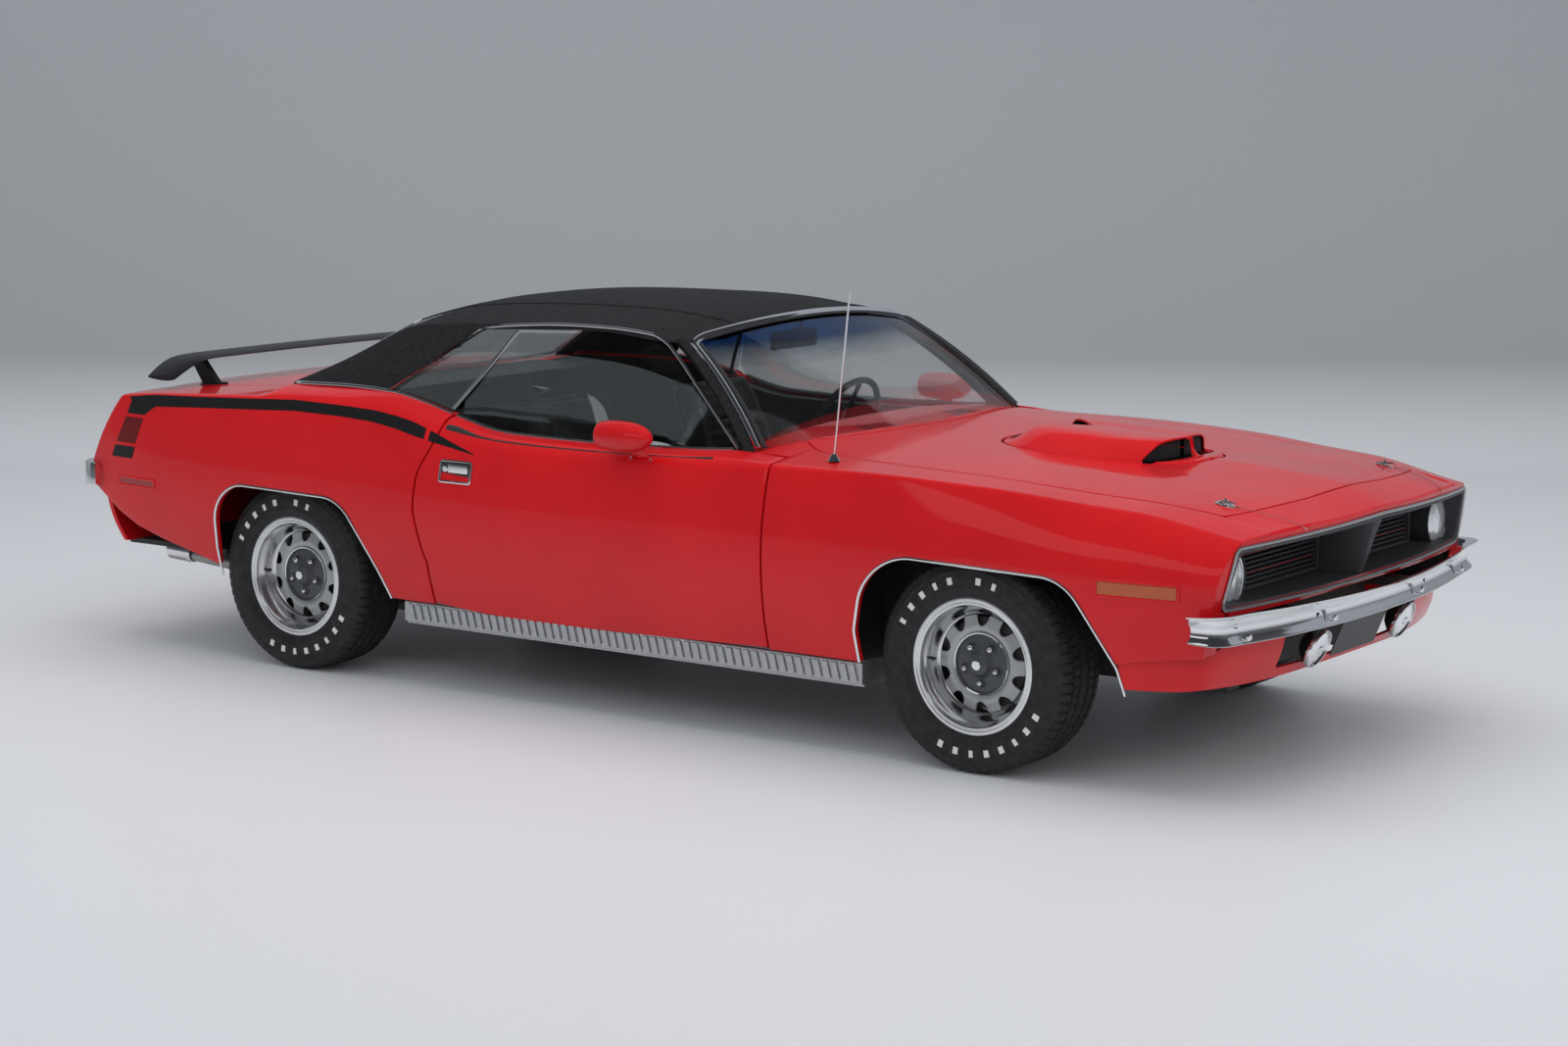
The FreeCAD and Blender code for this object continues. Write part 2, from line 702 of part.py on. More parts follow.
def make_deck():
    body = lid_block(spread(-2840, -3700, 12), 690, sheet)
    left = [(X(-2884), 1), (X(-2884), deck_edge(-2884))]
    left += [(X(s), deck_edge(s)) for s in spread(-2900, -3560, 8)]
    left += [(X(-3575), 600), (X(-3620), 300), (X(-3632), 1)]
    keep("deck_lid", body.common(plan_outline(left, 600, 1100)))


def wing_profile(x, z, chord, thick):
    return [(x + chord * 0.5, z), (x + chord * 0.32, z + thick * 0.55),
            (x - chord * 0.1, z + thick * 0.42), (x - chord * 0.5, z + thick * 0.1)], \
           [(x - chord * 0.5, z - thick * 0.1), (x - chord * 0.1, z - thick * 0.42),
            (x + chord * 0.32, z - thick * 0.5), (x + chord * 0.5, z)]


wing_station = -3470.0


def wing_deck_z():
    return top_z(wing_station, 400)


def make_wing():
    """Blade with drooped ends on two swept pedestals that stand on the deck lid."""
    z0 = wing_deck_z() + wing_rise
    sections = []
    for t in spread(-1, 1, 19):
        drop = 0 if abs(t) < 0.86 else 62 * ((abs(t) - 0.86) / 0.14) ** 1.1
        z = z0 - drop + 6 * (1 - t * t)
        up, down = wing_profile(X(wing_station), z, wing_chord - 30 * (drop / 62), wing_thick)
        y = t * wing_half_span
        sections.append([strip([(a, y, b) for a, b in up]), strip([(up[-1][0], y, up[-1][1]),
                         (down[0][0], y, down[0][1])]), strip([(a, y, b) for a, b in down])])
    blade = block(sections)
    for side in (1, -1):
        y = side * 590
        foot_z = top_z(wing_station + 70, 590) - 8
        x = X(wing_station)
        leg = prism_y([(x - 34, z0 - 4), (x + 22, z0 - 4), (x + 112, foot_z), (x + 34, foot_z)],
                      y - 13, y + 13)
        blade = blade.fuse(leg)
    lid = lid_block(spread(-2840, -3700, 12), 690, sheet)
    keep("wing", blade.cut(lid))


# Nose, grille and lamps


def nose_section(y):
    """Ring across the nose at one half width, with the ledge that the hood closes over."""
    s0 = hood_front(min(abs(y), 640)) + panel_gap * 1.1
    seam, back = X(s0), X(640)
    front_top = nose_x(y, 762)
    zf = top_z(892 - 70 * (y / 800) ** 2, y)
    drop = sheet + 12
    top = [(seam, y, top_z(s0, y)),
           ((seam + front_top) / 2, y, top_z((s0 + 890) / 2, y)), (front_top - 6, y, zf)]
    face = [(nose_x(y, z), y, z) for z in spread(zf - 8, 545, 5)]
    ledge = [(X(s), y, top_z(s, y) - drop) for s in spread(640, s0, 4)]
    return [strip(top), strip([top[-1], face[0]]), strip(face),
            strip([face[-1], (back, y, 545)]), strip([(back, y, 545), ledge[0]]), strip(ledge),
            strip([ledge[-1], top[0]])]


nose_half_width = 770.0


def mouth(shrink, depth_from, depth_to):
    """Grille opening as a solid, rounded at its outer ends."""
    high, low = 738 - shrink, 574 + shrink
    top_end, foot_end = 772 - shrink, 806 - shrink
    return prism_x([(top_end, high, 24), (0, high + 16), (-top_end, high, 24),
                    (-foot_end, low, 36), (0, low - 4), (foot_end, low, 36)], depth_from, depth_to)


def make_nose():
    half = nose_half_width
    body = block([nose_section(y) for y in spread(-half, half, 35)])
    opening = mouth(0, X(664), X(1100))
    keep("nose", largest(body.cut([opening, shapes["fender_left"], shapes["fender_right"]])))
    for side in ("left", "right"):
        name = "fender_" + side
        keep(name, shapes[name].cut(opening))


def make_grille():
    """Backed mouth with a centre fin, slatted inserts and round lamp bezels."""
    body = mouth(1.0, X(664), X(676))
    parts = []
    slat_count = 7
    for i in range(slat_count):
        z = 594 + i * 132 / (slat_count - 1)
        for side in (1, -1):
            y0, y1 = sorted((side * 52, side * 600))
            parts.append(box(X(674), X(716), y0, y1, z - 4, z + 4))
    fin = prism_y([(X(674), 577), (X(674), 760), (X(866), 760), (X(874), 745), (X(832), 592),
                   (X(800), 577)], -fin_width / 2, fin_width / 2)
    parts.append(fin.common(mouth(1.0, X(600), X(1100))))
    for side in (1, -1):
        y0, y1 = sorted((side * 46, side * 606))
        frame = box(X(674), X(726), y0, y1, 582, 736)
        parts.append(frame.cut(box(X(660), X(740), y0 + 9, y1 - 9, 591, 727)))
        bezel = prism_x([(side * 616, 578, 10), (side * 800, 578, 34), (side * 768, 736, 30),
                         (side * 616, 736, 10)], X(674), X(742))
        bezel = bezel.common(mouth(1.0, X(600), X(1100)))
        bore = Part.makeCone(lamp_radius - 16, lamp_radius - 8, 80, V(X(675), side * lamp_y, lamp_z),
                             V(1, 0, 0))
        parts.append(bezel.cut(bore))
    keep("grille", body.fuse(parts))
    lamps = []
    for side in (1, -1):
        centre = V(X(676) + seat_gap, side * lamp_y, lamp_z)
        cup = Part.makeCone(40, lamp_radius - 22, 52, centre, V(1, 0, 0))
        ball = Part.makeSphere(lamp_radius * 2, V(X(748) - lamp_radius * 2, side * lamp_y, lamp_z))
        lens = ball.common(Part.makeCylinder(lamp_radius - 22, 80, centre + V(51, 0, 0), V(1, 0, 0)))
        lamps.append(cup.fuse(lens))
    keep("headlamps", Part.makeCompound(lamps))


def ribbon(line, thick, height, z_at, lean):
    """A bumper blade along a plan line of (x, y) points, crowned on its face."""
    sections = []
    for i, (x, y) in enumerate(line):
        a, b = line[max(i - 1, 0)], line[min(i + 1, len(line) - 1)]
        dx, dy = b[0] - a[0], b[1] - a[1]
        size = math.hypot(dx, dy)
        nx, ny = -dy / size, dx / size
        zc = z_at(x, y)
        outer = []
        for t in spread(-1, 1, 5):
            bulge = 16 * (1 - t * t) - lean * t
            outer.append((x + nx * (bulge - 16), y + ny * (bulge - 16), zc + height / 2 * t))
        inner = [(x + nx * (bulge - 16 - thick), y + ny * (bulge - 16 - thick), zc + height / 2 * t)
                 for t, bulge in ((1, -lean), (0, 10), (-1, lean))]
        sections.append([strip(outer), strip([outer[-1], inner[0]]), strip(inner),
                         strip([inner[-1], outer[0]])])
    return block(sections)


def make_bumpers():
    half = [(728, 905), (790, 898), (838, 880), (864, 845), (880, 780), (905, 600), (925, 400),
            (937, 200)]
    line = [(X(s), y) for s, y in half] + [(X(941), 0)] + [(X(s), -y) for s, y in half[::-1]]
    front = ribbon(line, bumper_wall, bumper_height, lambda x, y: 471 + 55 * (y / 850) ** 2, 10)
    irons = [box(X(640), X(908), y - 30, y + 30, iron_z, iron_z + 34) for y in (-350, 350)]
    front = front.fuse(irons).cut([shapes["fender_left"], shapes["fender_right"]])
    keep("front_bumper", largest(front))
    half = [(-3690, 888), (-3745, 872), (-3778, 830), (-3786, 700), (-3792, 450), (-3797, 200)]
    line = [(X(s), y) for s, y in half] + [(X(-3798), 0)] + [(X(s), -y) for s, y in half[::-1]]
    rear = ribbon(line[::-1], bumper_wall, bumper_height, lambda x, y: 596 + 10 * (y / 850) ** 2, 8)
    irons = [box(X(-3770), X(-3700), y - 30, y + 30, 572, 607) for y in (-420, 420)]
    rear = rear.fuse(irons).cut([shapes["quarter_left"], shapes["quarter_right"], shapes["tail_panel"]])
    keep("rear_bumper", largest(rear))


def make_road_lamps():
    """Pair of round lamps that hang from the bumper irons, tipped with the apron behind them."""
    lamps = []
    turn = FreeCAD.Rotation(V(0, 1, 0), apron_tilt)
    for side in (1, -1):
        centre = V(X(road_lamp_station), side * road_lamp_y, road_lamp_z)
        r = road_lamp_radius
        depth = [(0, r), (-16, r), (-17, r - 4), (-34, r - 14), (-52, r - 32), (-60, r - 50)]
        profile = [(0, 0)] + depth + [(-60, 0)]
        wire = Part.makePolygon([V(a, r, 0) for a, r in profile + profile[:1]])
        lamp = Part.Face(wire).revolve(V(0, 0, 0), V(1, 0, 0), 360)
        lamp = lamp.cut(Part.makeCylinder(road_lamp_radius - 6, 7, V(-6, 0, 0), V(1, 0, 0)))
        lamp.Placement = FreeCAD.Placement(centre, turn)
        y0, y1 = sorted((side * 288, side * 342))
        hanger = box(X(850), X(864), y0, y1, 428, iron_z - seat_gap)
        lamps.append(lamp.fuse(hanger.cut(lamp)))
    return lamps


def valance_bottom(y):
    return curve((0, 326), (150, 325), (450, 317), (700, 320), (800, 326), (878, 320))(abs(y))


def valance_top(y):
    end = fender_foot - seat_gap
    return curve((0, 466), (560, 466), (690, 464), (790, end), (900, end))(abs(y))


def make_valance():
    """Curved apron below the bumper, tucked in at its foot, with its air opening."""
    half = [(500, 878), (600, 866), (690, 850), (760, 806), (798, 730), (828, 600), (858, 400),
            (874, 200)]
    line = [(X(s), y) for s, y in half] + [(X(879), 0)] + [(X(s), -y) for s, y in half[::-1]]
    sections = []
    for i, (x, y) in enumerate(line):
        a, b = line[max(i - 1, 0)], line[min(i + 1, len(line) - 1)]
        size = math.hypot(b[0] - a[0], b[1] - a[1])
        nx, ny = -(b[1] - a[1]) / size, (b[0] - a[0]) / size
        if i in (0, len(line) - 1):
            nx = 0.0
        facing = max(nx, 0.0)
        heights = spread(valance_top(y), valance_bottom(y), 5)
        outer = [(x - nx * tuck * facing, y - ny * tuck * facing, z)
                 for z, tuck in zip(heights, (43, 42, 46, 57, 75))]
        inner = [(px - nx * skin, py - ny * skin, pz) for px, py, pz in outer[::-1]]
        sections.append([strip(outer), strip([outer[-1], inner[0]]), strip(inner),
                         strip([inner[-1], outer[0]])])
    body = block(sections)
    opening = prism_x([(-438, 452, 12), (438, 452, 12), (464, 348, 12), (-464, 348, 12)],
                      X(700), X(1000))
    body = body.cut(opening).cut(prism_y(front_arch, -1100, 1100))
    body = largest(body.cut([shapes["fender_left"], shapes["fender_right"]]))
    brackets = [box(X(640), X(800), y - 20, y + 20, 436, 466) for y in (-480, 480)]
    keep("front_valance", body.fuse(brackets))


def number_plate():
    """Blank plate facing forward, its lower edge on the Y axis."""
    half = plate_width / 2
    plate = prism_x([(-half, 0, 10), (half, 0, 10), (half, plate_height, 10),
                     (-half, plate_height, 10)], 0, 4)
    for side in (1, -1):
        start = V(-8, side * plate_hole_spacing / 2, plate_height - 18)
        hole = Part.makeCylinder(plate_hole_radius, 20, start, V(1, 0, 0))
        plate = plate.cut(hole)
    return plate


def make_plates():
    front = number_plate()
    front.Placement = FreeCAD.Placement(V(X(860), 0, 341), FreeCAD.Rotation(V(0, 1, 0), apron_tilt))
    rear = number_plate()
    rear.translate(V(X(-3790), 0, 400))
    return [seated(front, shapes["front_valance"], V(-1, 0, 0)),
            seated(rear, shapes["tail_panel"], V(1, 0, 0))]


# Tail


def tail_line_at(y):
    """Outer (row x, z) line of the tail panel at a half width."""
    shift = 46 * (y / 860) ** 2
    top = top_z(-3610, min(abs(y), 820)) - sheet - 8
    return [(X(-3640) + shift, top), (X(-3686) + shift, 800), (X(-3732) + shift, 690),
            (X(-3738) + shift, 560), (X(-3700) + shift, 440), (X(-3640) + shift, 372)]


def tail_block(depth):
    """Slab behind the tail's outer face, as deep as asked."""
    sections = []
    for y in spread(-860, 860, 15):
        line = tail_line_at(y)
        inner = [(x + depth, z) for x, z in line[::-1]]
        sections.append([strip([(x, y, z) for x, z in line]),
                         strip([(line[-1][0], y, line[-1][1]), (inner[0][0], y, inner[0][1])]),
                         strip([(x, y, z) for x, z in inner]),
                         strip([(inner[-1][0], y, inner[-1][1]), (line[0][0], y, line[0][1])])])
    return block(sections)


def make_tail():
    """Tail panel between the quarters, down to the valance below the bumper, with its lamps."""
    body = tail_block(skin).cut(shapes["quarter_left"]).cut(shapes["quarter_right"])
    lamps = []
    for side in (1, -1):
        window = prism_x([(side * 300, 700, 10), (side * 790, 706, 14), (side * 770, 790, 14),
                          (side * 300, 800, 10)], X(-3760), X(-3655))
        body = body.cut(window)
        lens = prism_x([(side * 303, 703, 8), (side * 786, 709, 12), (side * 766, 787, 12),
                        (side * 303, 797, 8)], X(-3760), X(-3655) - seat_gap)
        lamps.append(largest(lens.common(tail_block(60))))
    tray = box(X(-3655), X(-3640), -800, 800, 690, 806)
    keep("tail_panel", body.fuse(tray))
    keep("tail_lamps", Part.makeCompound(lamps))


def cowl_level():
    return lid_block(spread(-560, -905, 8), 786, sheet)


def make_cowl():
    """Panel from the hood's rear edge to the windshield, on its plenum box."""
    level = cowl_level()
    plan = box(X(-905), X(-716), -786, 786, 700, 1100)
    plan = plan.fuse(box(X(-717), X(-560), -592, 592, 700, 1100))
    body = level.common(plan).cut(plan_outline(hood_plan(panel_gap), 600, 1100))
    plenum = box(X(-860), X(-784), -730, 730, 700, 880)
    keep("cowl", body.fuse(plenum))


def make_floor():
    """Floor with its tunnel, heel board, rear seat pan and trunk floor."""
    low = [(-585, 212), (-2230, 212), (-2330, 470), (-3080, 470), (-3140, 352), (-3640, 352)]
    high = [(-585, 230), (-2216, 230), (-2316, 488), (-3092, 488), (-3152, 370), (-3640, 370)]
    sheet_line = [(X(s), z) for s, z in low + high[::-1]]
    body = prism_y(sheet_line, -560, 560).fuse(box(X(-2222), X(-585), -735, 735, 212, 230))
    body = body.fuse(box(X(-3640), X(-3150), -790, 790, 352, 370))
    half = tunnel_width / 2
    top = floor_z + tunnel_rise
    body = body.cut(box(X(-2212), X(-500), -half + 1, half - 1, 200, 300))
    hump = prism_x([(-half, floor_z), (-half + 24, top, 50), (half - 24, top, 50), (half, floor_z)],
                   X(-2240), X(-585))
    bore = prism_x([(-half + floor_wall, floor_z - 5), (-half + 24 + floor_wall, top - floor_wall, 36),
                    (half - 24 - floor_wall, top - floor_wall, 36), (half - floor_wall, floor_z - 5)],
                   X(-2300), X(-500))
    body = body.fuse(hump).cut(bore)
    rails = [box(X(-3080), X(-2330), y - 25, y + 25, 425, 470) for y in (-540, 540)]
    keep("floor_pan", body.fuse(rails))


def make_engine_bay():
    """Firewall, hinge posts, side aprons, rails and radiator support."""
    fire = box(X(-585), X(-570), -735, 735, 212, 860)
    fire = fire.cut(box(X(-600), X(-500), -132, 132, 200, 384))
    parts = [box(X(616), X(640), -560, 560, 300, 780)]
    for side in (1, -1):
        y0, y1 = sorted((side * apron_y, side * (apron_y + rail_wall)))
        parts.append(prism_y([(X(-575), 330), (X(-575), 835), (X(625), 760), (X(625), 330)], y0, y1))
        y0, y1 = sorted((side * apron_y, side * 735))
        parts.append(prism_y([(X(-575), 820), (X(-575), 835), (X(640), 760), (X(640), 745)], y0, y1))
        y0, y1 = sorted((side * 395, side * 470))
        parts.append(box(X(-585), X(640), y0, y1, beam_top, 345))
        y0, y1 = sorted((side * 720, side * 868))
        parts.append(box(X(-712), X(-570), y0, y1, sill_top, 850).cut(
            box(X(-720), X(-600), min(side * 700, side * 745), max(side * 700, side * 745), 200, 900)))
    keep("engine_bay", fire.fuse(parts))


def make_sills():
    """Rocker boxes with their ribbed side mouldings."""
    x0, x1 = X(-2225), X(-378)
    face = 884.0
    core = box(x0, x1, sill_inner_y, 872, sill_bottom - 8, sill_top)
    plate = prism_x([(870, sill_bottom, 3), (face, sill_bottom, 5), (face, sill_top - 3, 5),
                     (870, sill_top - 3, 3)], x0, x1)
    count = int((x1 - x0 - 30) / rib_pitch)
    ribs = []
    for i in range(count):
        a = x0 + 16 + i * rib_pitch
        slant = 14.0
        ribs.append(prism_y([(a + slant, sill_bottom + 9), (a + slant + rib_width, sill_bottom + 9),
                             (a + rib_width, sill_top - 12), (a, sill_top - 12)],
                            face - 1, face + rib_depth))
    left = core.fuse([plate] + ribs)
    keep("sills", both(left))


def make_engine():
    low = beam_top + seat_gap
    motor = box(X(-430), X(300), -engine_half_width, engine_half_width, low, engine_top)
    gearbox = box(X(-960), X(-425), -90, 90, low, 372)
    keep("engine", motor.fuse(gearbox))


def revolve_y(profile, x, z):
    """Profile of (radius, y) points turned about an axle along Y."""
    wire = Part.makePolygon([V(x, y, z + r) for r, y in profile + profile[:1]])
    return Part.Face(wire).revolve(V(x, 0, z), V(0, 1, 0), 360)


def make_wheel(corner, x, y):
    """Rim with its slotted disc, and tyre, for a left wheel whose outside faces +Y."""
    w = rim_width / 2
    r = trim_ring_radius
    face, back = y + w, y - w
    barrel = [(r, face), (r - 4, face + 3), (r - 22, face - 4), (r - 40, face - 16),
              (164, face - 26), (156, face - 40), (150, face - 52), (122, face - 46),
              (96, face - 40), (76, face - 42), (66, face - 52), (44, face - 50),
              (40, face - 44), (0.001, face - 42), (0.001, face - 62), (66, face - 64),
              (120, face - 58), (152, face - 64), (160, face - 60), (168, back + 30),
              (184, back + 6), (r - 6, back), (r - 4, back - 2), (r - 4, back + 4),
              (190, back + 12), (182, back + 34), (176, y), (184, face - 22),
              (192, face - 12), (r - 4, face - 4)]
    rim = revolve_y(barrel, x, hub_z)
    cuts = []
    for k in range(slot_count):
        angle = 2 * math.pi * (k + 0.5) / slot_count
        slot = prism_y([(x - 17, hub_z + 116, 8), (x + 17, hub_z + 116, 8),
                        (x + 20, hub_z + 143, 10), (x - 20, hub_z + 143, 10)], face - 90, face - 20)
        slot.rotate(V(x, 0, hub_z), V(0, 1, 0), math.degrees(angle))
        cuts.append(slot)
    rim = rim.cut(Part.makeCompound(cuts))
    nuts = []
    for k in range(nut_count):
        angle = 2 * math.pi * k / nut_count
        nut_x = x + nut_circle / 2 * math.sin(angle)
        nut_z = hub_z + nut_circle / 2 * math.cos(angle)
        nuts.append(rod((nut_x, face - 56, nut_z), (nut_x, face - 34, nut_z), 10))
    drum = Part.makeCylinder(132, 60, V(x, y - 30, hub_z), V(0, 1, 0))
    drum = drum.cut(Part.makeCylinder(120, 50, V(x, y - 31, hub_z), V(0, 1, 0)))
    hub = Part.makeCylinder(44, w - 30, V(x, y - 30, hub_z), V(0, 1, 0))
    bore = Part.makeCylinder(spindle_radius + running_gap, w - 30, V(x, y - 40, hub_z), V(0, 1, 0))
    rim = rim.fuse(nuts + [drum, hub]).cut(bore)
    t = tyre_width / 2
    wide = tyre_radius
    tyre_profile = [(wide, y - 84), (wide, y + 84), (wide - 12, y + 103), (wide - 50, y + t - 2),
                    (wide - 82, y + t), (wide - 108, y + t - 10), (206, face + 4),
                    (186.5, face - 14), (184.5, face - 20), (184.5, back + 38),
                    (192.5, back + 14), (205, back + 4.5), (205, back - 4),
                    (wide - 108, y - t + 10), (wide - 82, y - t), (wide - 50, y - t + 2),
                    (wide - 12, y - 103)]
    tyre = revolve_y(tyre_profile, x, hub_z).cut(rim)
    if tyre.Solids:
        tyre = max(tyre.Solids, key=lambda s: s.Volume)
    for side, flip in (("left", False), ("right", True)):
        keep("rim_" + corner + "_" + side, mirrored(rim) if flip else rim)
        keep("tyre_" + corner + "_" + side, mirrored(tyre) if flip else tyre)


def heel_z(station):
    """Underside of the sloping heel board, less the seat of the spring hangers."""
    return 212 + (-2230 - station) * 2.58 - 0.8


def make_running_gear():
    make_wheel("front", front_axle_x, front_wheel_y)
    make_wheel("rear", rear_axle_x, rear_wheel_y)
    w = rim_width / 2
    # knuckle: kingpin, upright, spindle and backing plate
    x, y = front_axle_x, front_wheel_y
    spindle = rod((x, kingpin_y, hub_z), (x, y + w - 72, hub_z), spindle_radius)
    pin = rod((x, kingpin_y, 186), (x, kingpin_y, 468), kingpin_radius)
    upright = box(x - 26, x + 26, kingpin_y - 24, kingpin_y + 22, 232, 432)
    plate = Part.makeCylinder(114, 5, V(x, kingpin_y + 29, hub_z), V(0, 1, 0))
    arm = box(x - 120, x - 20, kingpin_y - 20, kingpin_y, 262, 282)
    knuckle = spindle.fuse([pin, upright, plate, arm])
    keep("knuckle_left", knuckle)
    keep("knuckle_right", mirrored(knuckle))
    # crossmember and control arms up to the kingpins
    beam = box(x - 60, x + 60, -470, 470, 205, beam_top)
    arms = []
    for side in (1, -1):
        for z, reach, half in ((200, 440, 24), (448, 420, 20)):
            y0, y1 = sorted((side * reach, side * kingpin_y))
            bar = box(x - half, x + half, y0, y1, z, z + 20)
            eye = Part.makeCylinder(28, 20, V(x, side * kingpin_y, z))
            hole = Part.makeCylinder(kingpin_radius + running_gap, 60, V(x, side * kingpin_y, z - 20))
            arms.append(bar.fuse(eye).cut(hole))
    pieces = [beam.fuse(arms[0::2])]
    notches = []
    for side, upper in zip((1, -1), arms[1::2]):
        y0, y1 = sorted((side * 405, side * 452))
        tower = box(x - 50, x + 50, y0, y1, 345, 475)
        y0, y1 = sorted((side * 405, side * 480))
        link = box(x - 20, x + 20, y0, y1, 448, 468)
        pieces.append(upper.fuse([tower, link]))
        y0, y1 = sorted((side * 450, side * 475))
        notches.append(box(x - 30, x + 30, y0, y1, 440, 476))
    keep("engine_bay", shapes["engine_bay"].cut(Part.makeCompound(notches)))
    keep("front_suspension", Part.makeCompound(pieces))
    # rear axle on its leaf springs, with the propeller shaft
    x, y = rear_axle_x, rear_wheel_y
    axle = rod((x, -640, hub_z), (x, 640, hub_z), 38)
    stubs = rod((x, -(y + w - 72), hub_z), (x, y + w - 72, hub_z), spindle_radius)
    ball = Part.makeSphere(128, V(x, 0, hub_z + 6))
    nose_cone = Part.makeCone(90, 46, 190, V(x + 60, 0, hub_z), V(1, 0, 0))
    shaft = rod((x + 200, 0, hub_z), (X(-960) - seat_gap, 0, 318), 34)
    spring_top = [(-2281, 302), (-2500, 290), (-2743, 286), (-3000, 294), (-3420, 330)]
    parts = [stubs, ball, nose_cone, shaft]
    for side in (1, -1):
        y0, y1 = sorted((side * 512, side * 568))
        line = [(X(s), z) for s, z in spring_top] + [(X(s), z - 18) for s, z in spring_top[::-1]]
        parts.append(prism_y(line, y0, y1))
        hanger = [(X(-2300), 262), (X(-2262), 262), (X(-2262), heel_z(-2262)), (X(-2300), heel_z(-2300))]
        parts.append(prism_y(hanger, y0, y1))
        parts.append(Part.makeCylinder(114, 8, V(x, side * 735 - 4, hub_z), V(0, 1, 0)))
        parts.append(box(X(-3440), X(-3400), y0, y1, 300, 352 - seat_gap))
        parts.append(box(x - 50, x + 50, y0, y1, 280, 322))
    keep("rear_axle", axle.fuse(parts))


def make_exhaust():
    pipes = []
    for side in (1, -1):
        route = [(X(-300), side * 300, 420), (X(-480), side * 305, 178), (X(-1720), side * 310, 166),
                 (X(-2180), side * 310, 166), (X(-2560), side * 430, 176), (X(-3700), side * 440, 262)]
        run = [rod(route[i], route[i + 1], 27) for i in range(len(route) - 1)]
        run += [Part.makeSphere(27, V(*p)) for p in route[1:-1]]
        y, high = side * 310, floor_z - seat_gap
        run.append(prism_x([(y - 95, 128, 36), (y + 95, 128, 36), (y + 95, high, 36), (y - 95, high, 36)],
                           X(-2200), X(-1700)))
        run.append(rod((X(-3690), side * 440, 261), (X(-3786), side * 440, 266), 34))
        y0, y1 = sorted((side * (engine_half_width + seat_gap), side * 330))
        run.append(box(X(-340), X(-260), y0, y1, 395, 445))
        pipes.append(run[0].fuse(run[1:]))
    keep("exhaust", Part.makeCompound(pipes))
    tank = prism_y([(X(-3560), 220, 30), (X(-3180), 220, 30), (X(-3180), 352 - seat_gap, 12),
                    (X(-3560), 352 - seat_gap, 12)], -380, 380)
    keep("fuel_tank", tank)


def seat_shell(y0, y1, back_top):
    profile = [(X(-1330), 330, 20), (X(-1330), 462, 50), (X(-1730), 430, 60),
               (X(-1850), back_top - 60, 300), (X(-1880), back_top, 26), (X(-1950), back_top, 30),
               (X(-1950), back_top - 120, 200), (X(-1880), 330, 40)]
    return prism_y(profile, y0, y1)


def make_interior():
    seats = []
    for side in (1, -1):
        y0, y1 = sorted((side * 200, side * 600))
        base = box(X(-1840), X(-1380), y0, y1, floor_z + floor_wall, 331)
        y0, y1 = sorted((side * 160, side * 650))
        seats.append(seat_shell(y0, y1, 960).fuse(base))
    keep("front_seats", Part.makeCompound(seats))
    rear = prism_y([(X(-2130), 408, 20), (X(-2130), 520, 50), (X(-2440), 530, 30),
                    (X(-2540), 870, 60), (X(-2640), 870, 30), (X(-2640), 488 + seat_gap),
                    (X(-2330), 488 + seat_gap), (X(-2310), 408)], -540, 540)
    keep("rear_seat", largest(rear.cut(shapes["floor_pan"])))
    dash = prism_y([(X(-860), 880, 8), (X(-1010), 866, 30), (X(-1050), 800, 20),
                    (X(-1010), 640, 20), (X(-860), 640)], -730, 730)
    tilt = math.radians(25)
    wx, wz = X(-1313), 823.0
    column = rod((X(-900), 370, wz - math.tan(tilt) * 413),
                 (wx + 30 * math.cos(tilt), 370, wz - 30 * math.sin(tilt)), 24)
    keep("dashboard", dash.cut(shapes["cowl"]).fuse(column))
    axis = V(-math.cos(tilt), 0, math.sin(tilt))
    centre = V(wx, 370, wz)
    hoop = Part.makeTorus(steering_wheel_radius, 12, centre, axis)
    hub = Part.makeCylinder(34, 46 - seat_gap, centre - axis * (30 - seat_gap), axis)
    spokes = []
    side_axis = V(0, 1, 0)
    down = axis.cross(side_axis)
    for ax, ay in ((0.94, 0.34), (-0.94, 0.34), (0, -1)):
        tip = centre + side_axis * (ax * steering_wheel_radius) + down * (ay * steering_wheel_radius)
        spokes.append(rod((centre.x, centre.y, centre.z), (tip.x, tip.y, tip.z), 9))
    keep("steering_wheel", hoop.fuse([hub] + spokes))
    keep("rear_deck", lid_block(spread(-2560, -2876, 8), 601.7, sheet))


def make_antenna():
    base = (X(-550), -790.0, top_z(-550, 790) + 20)
    mast = rod(base, (X(-496), -790, 1423), 3)
    foot = Part.makeCone(20, 8, 22, V(*base))
    whole = seated(mast.fuse(foot), shapes["fender_right"], V(0, 0, -1))
    keep("antenna", whole)


def make_body():
    make_fenders()
    make_quarters()
    make_roof()
    make_hood()
    make_scoop()
    make_deck()
    make_wing()
    make_nose()
    make_grille()
    make_tail()
    make_bumpers()
    make_valance()
    make_cowl()
    keep("door_left", make_door().fuse(mirror_shell()))
    keep("door_right", mirrored(shapes["door_left"]))
    door_glass, pane = make_side_glass()
    keep("door_glass_left", door_glass)
    keep("door_glass_right", mirrored(door_glass))
    keep("quarter_glass", both(pane))
    keep("windshield", glass_pane(windshield_point, -0.03, 0.985, 0.97, 4, glass).cut(cowl_level()))
    make_floor()
    make_engine_bay()
    make_sills()
    make_engine()
    make_running_gear()
    make_exhaust()
    make_interior()
    rear_glass = glass_pane(backlight_point, -0.02, 0.985, 0.97, 4, glass)
    keep("rear_glass", largest(rear_glass.cut([shapes["rear_deck"], shapes["roof"]])))
    make_antenna()
    keep("road_lamps", Part.makeCompound(make_road_lamps()))
    keep("number_plates", Part.makeCompound(make_plates()))


